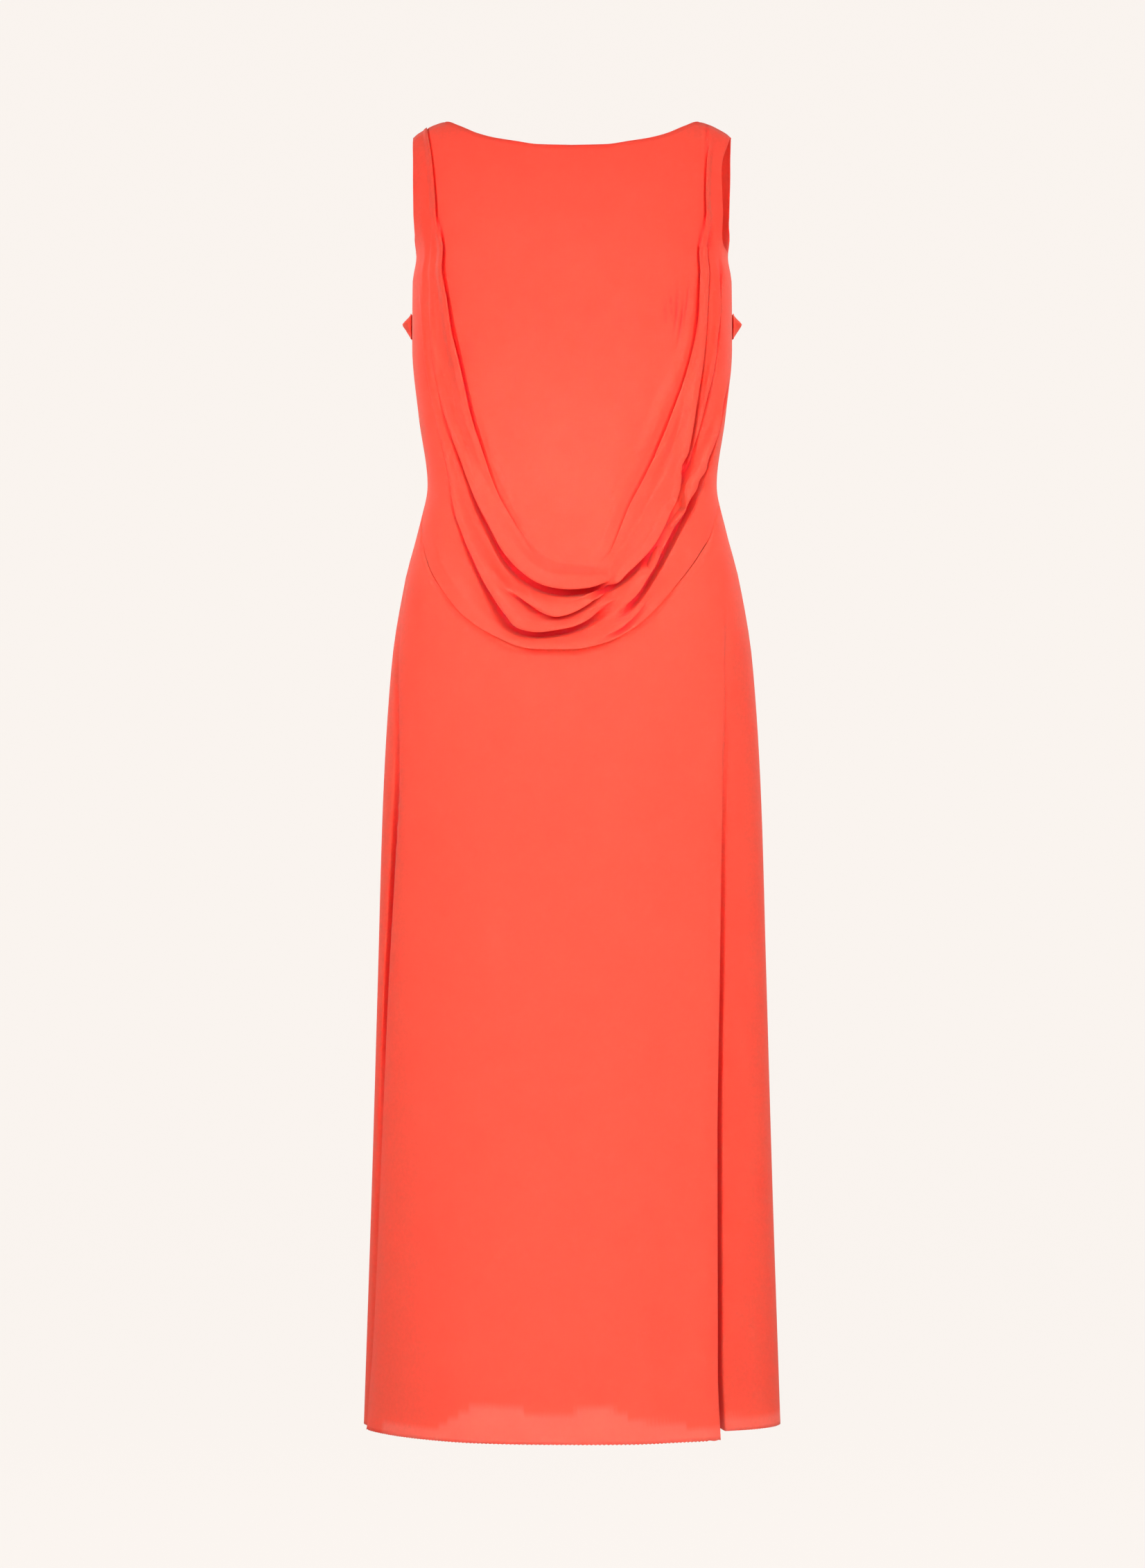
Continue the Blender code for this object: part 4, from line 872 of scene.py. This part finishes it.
def skirt_lining(material, front, back):
    """A tube inside the skirt: some of its columns, moved inwards and cut off above the hem."""
    front = front[:, ::LINING_STEP]
    back = back[:, -1 - LINING_STEP:LINING_STEP:-LINING_STEP]
    ring = np.concatenate((front, back), axis=1)
    around = np.roll(ring, -1, axis=1) - np.roll(ring, 1, axis=1)
    normal = np.cross(np.gradient(ring, axis=0), around)
    ring = ring - LINING_INSIDE * normal / np.linalg.norm(normal, axis=-1, keepdims=True)
    in_front = np.arange(ring.shape[1]) < front.shape[1]
    end = np.where(in_front, lining_rim(ring[-1, :, 0]), LINING_EDGE[-1].drop)
    columns = []
    for j in range(ring.shape[1]):
        drop = -ring[:, j, 2]
        wanted = np.linspace(drop[0] + LINING_TOP_GAP, end[j], LINING_ROWS)
        lower = [np.interp(wanted, drop, ring[:, j, k]) for k in range(3)]
        columns.append(np.stack(lower, axis=-1))
    ring = np.stack(columns, axis=1)
    rows, count = ring.shape[:2]
    number = np.arange(rows * count).reshape(rows, count)
    closed = np.concatenate((number, number[:, :1]), axis=1)
    return cloth_object("skirt_lining", ring, quads_of(closed), material)


def lit_through_single_layer(points):
    """1 where the front hangs below the lining and one layer of cloth shows, which is painted paler as
    light through it.
    """
    x, drop = points[..., 0], -points[..., 2]
    return ease((drop - lining_rim(x)) / PALE_EDGE) * ease((x - PALE_FROM) / PALE_OVER)


# ------------------------ materials
def set_inputs(node, values):
    for name, value in values.items():
        node.inputs[name].default_value = value


CREPE_COLOUR = (0.95, 0.062, 0.040)
# painted light: the paler red of a single layer that light comes through
LIT_THROUGH_COLOUR = (0.96, 0.108, 0.078)
PAINTED_FOLD_SHADE_COLOUR = (0.72, 0.004, 0.018)  # painted shade deep behind a fold: the dark red of cloth lit only through cloth
LINING_COLOUR = (0.80, 0.085, 0.055)


def cloth_material(name, colour, lit_through_colour, sheen):
    """Crepe jersey: a fine pebbled face, faintly mottled, with painted light where a single layer
    hangs and painted shade in folds.
    """
    material = bpy.data.materials.new(name)
    material.use_nodes = True
    nodes, links = material.node_tree.nodes, material.node_tree.links
    shader = nodes["Principled BSDF"]
    place = nodes.new("ShaderNodeTexCoord")

    def noise(scale, detail, roughness):
        node = nodes.new("ShaderNodeTexNoise")
        set_inputs(node, {"Scale": scale, "Detail": detail, "Roughness": roughness})
        links.new(place.outputs["Object"], node.inputs["Vector"])
        return node

    def mixed_by(value, colours):
        """A mix of two colours by a value stored on the mesh."""
        stored = nodes.new("ShaderNodeAttribute")
        stored.attribute_name = value
        mix = nodes.new("ShaderNodeMix")
        mix.data_type = "RGBA"
        set_inputs(mix, {name: (*rgb, 1) for name, rgb in colours.items()})
        links.new(stored.outputs["Fac"], mix.inputs["Factor"])
        return mix

    # painted light: paler where a single layer hangs below the lining
    layers = mixed_by("lit_through_single_layer", {"A": colour, "B": lit_through_colour})
    # painted shade: a darker red mixed in deep in folds, in slots and in drag lines
    fold_shade_mix = mixed_by("painted_fold_shade", {"B": PAINTED_FOLD_SHADE_COLOUR})
    links.new(layers.outputs["Result"], fold_shade_mix.inputs["A"])

    mottle = nodes.new("ShaderNodeMapRange")
    set_inputs(mottle, {"From Min": 0.3, "From Max": 0.7, "To Min": 0.95, "To Max": 1.05})
    links.new(noise(scale=260, detail=5, roughness=0.7).outputs["Fac"], mottle.inputs["Value"])
    shade = nodes.new("ShaderNodeHueSaturation")
    links.new(mottle.outputs["Result"], shade.inputs["Value"])
    links.new(fold_shade_mix.outputs["Result"], shade.inputs["Color"])
    links.new(shade.outputs["Color"], shader.inputs["Base Color"])

    bump = nodes.new("ShaderNodeBump")
    set_inputs(bump, {"Strength": 0.35, "Distance": 0.0003})
    links.new(noise(scale=1500, detail=2, roughness=0.6).outputs["Fac"], bump.inputs["Height"])
    links.new(bump.outputs["Normal"], shader.inputs["Normal"])
    set_inputs(shader, {
        "Subsurface Weight": 0.8, "Subsurface Radius": (1.0, 0.04, 0.05), "Subsurface Scale": 0.003,
        "Roughness": 0.85, "Specular IOR Level": 0.45, "Specular Tint": (1.0, 0.85, 0.5, 1),
        "Sheen Weight": sheen, "Sheen Roughness": 0.5, "Sheen Tint": (1.0, 0.32, 0.24, 1),
    })
    return material


crepe = cloth_material("crepe_jersey", CREPE_COLOUR, LIT_THROUGH_COLOUR, sheen=0.08)
lining = cloth_material("lining_jersey", LINING_COLOUR, LINING_COLOUR, sheen=0.05)

front = bodice_front(crepe)
back = bodice_back(crepe)
band = back_band(crepe)
front_points, painted_fold_shade = skirt_front_points()
back_points = skirt_back_points()
skirt_front = cloth_object(
    "skirt_front", front_points, grid_quads(*front_points.shape[:2]), crepe,
    {"lit_through_single_layer": lit_through_single_layer(front_points), "painted_fold_shade": painted_fold_shade})
skirt_back = cloth_object(
    "skirt_back", back_points, grid_quads(*back_points.shape[:2], flip=True), crepe)
tube = skirt_lining(lining, front_points, back_points)

# ------------------------ stage, light and camera
PAPER = (0.947, 0.896, 0.855)
PAPER_GLOW, PAPER_BASE = 0.995, 0.03  # what the paper round the gown gives and reflects
FLOOR = -1.75
ROOM_RADIUS, ROOM_BEND, ROOM_TOP, ROOM_SIDES, BEND_STEPS = 7.5, 1.2, 9.0, 96, 16
WORLD_COLOUR, WORLD_STRENGTH = (1.0, 0.97, 0.94), 0.38
CAMERA_DISTANCE = 5.0
PHOTO_ROWS = 2262        # pixels
MM_PER_PIXEL = 0.75      # at the gown
FRAME_CENTRE = (0.0004, -0.716)  # x and z of what is at the middle of the picture
SENSOR = 36.0            # mm


def room_mesh():
    """A round pale room whose floor bends up into its wall."""
    mesh = bpy.data.meshes.new("backdrop")
    bend = np.linspace(0, math.pi / 2, BEND_STEPS)
    flat = ROOM_RADIUS - ROOM_BEND
    radius = np.concatenate(((0.0,), flat + ROOM_BEND * np.sin(bend), (ROOM_RADIUS,)))
    height = np.concatenate(((FLOOR,), FLOOR + ROOM_BEND - ROOM_BEND * np.cos(bend), (ROOM_TOP,)))
    turn = np.linspace(0, 2 * math.pi, ROOM_SIDES + 1)[:, None]
    room = np.stack((radius * np.cos(turn), radius * np.sin(turn), height + 0 * turn), axis=-1)
    mesh.from_pydata(room.reshape(-1, 3).tolist(), [], grid_quads(*room.shape[:2]).tolist())
    mesh.shade_smooth()
    return mesh


def paper_material():
    paper = bpy.data.materials.new("pale_paper")
    paper.use_nodes = True
    set_inputs(paper.node_tree.nodes["Principled BSDF"], {
        "Base Color": (*(PAPER_BASE * c for c in PAPER), 1), "Roughness": 1.0,
        "Specular IOR Level": 0.0, "Emission Color": (*PAPER, 1), "Emission Strength": PAPER_GLOW,
    })
    return paper


def soft_light(name, place, aim, size, watts, spread):
    """A lamp that isn't seen itself; its spread is in degrees."""
    light = bpy.data.lights.new(name, "AREA")
    light.spread = math.radians(spread)
    light.shape = "RECTANGLE"
    light.size, light.size_y = size
    light.energy = watts
    lamp = new_object(name, light)
    lamp.location = place
    lamp.rotation_euler = (Vector(aim) - Vector(place)).to_track_quat("-Z", "Y").to_euler()
    lamp.visible_camera = False


backdrop = new_object("backdrop", room_mesh())
backdrop.visible_diffuse = False  # it is only seen: the world and the lamps light the gown
backdrop.visible_glossy = False
backdrop.visible_shadow = False
backdrop.data.materials.append(paper_material())

soft_light("key_left", (-1.75, -2.1, 0.45), (0, 0, -1.1), (0.9, 1.2), watts=12, spread=100)
soft_light("key_right", (1.75, -2.1, 0.45), (0, 0, -1.1), (0.9, 1.2), watts=12.5, spread=100)
soft_light("front_waist", (-0.12, -3.2, -0.3), (0, 0, -0.4), (0.8, 0.8), watts=1.2, spread=28)
soft_light("front_centre", (0, -3.2, -0.3), (0, 0, -0.37), (0.25, 0.25), watts=0.25, spread=12)
soft_light("front_low", (0.1, -3.2, -1.3), (0, 0, -1.35), (0.9, 0.9), watts=6, spread=50)
soft_light("back_left", (-1.9, 2.4, 0.4), (0, 0, -0.8), (0.9, 1.2), watts=13, spread=100)
soft_light("back_right", (1.9, 2.4, 0.4), (0, 0, -0.8), (0.9, 1.2), watts=11, spread=100)

world = bpy.data.worlds.new("studio")
SCENE.world = world
world.use_nodes = True
set_inputs(world.node_tree.nodes["Background"],
           {"Color": (*WORLD_COLOUR, 1), "Strength": WORLD_STRENGTH})
SCENE.view_settings.view_transform = "Standard"

camera_data = bpy.data.cameras.new("camera")
camera_data.sensor_width = SENSOR
camera_data.lens = SENSOR * CAMERA_DISTANCE / (PHOTO_ROWS * MM_PER_PIXEL * MM)
camera = new_object("camera", camera_data)
camera.location = (FRAME_CENTRE[0], -CAMERA_DISTANCE, FRAME_CENTRE[1])
camera.rotation_euler = (math.pi / 2, 0, 0)
SCENE.camera = camera
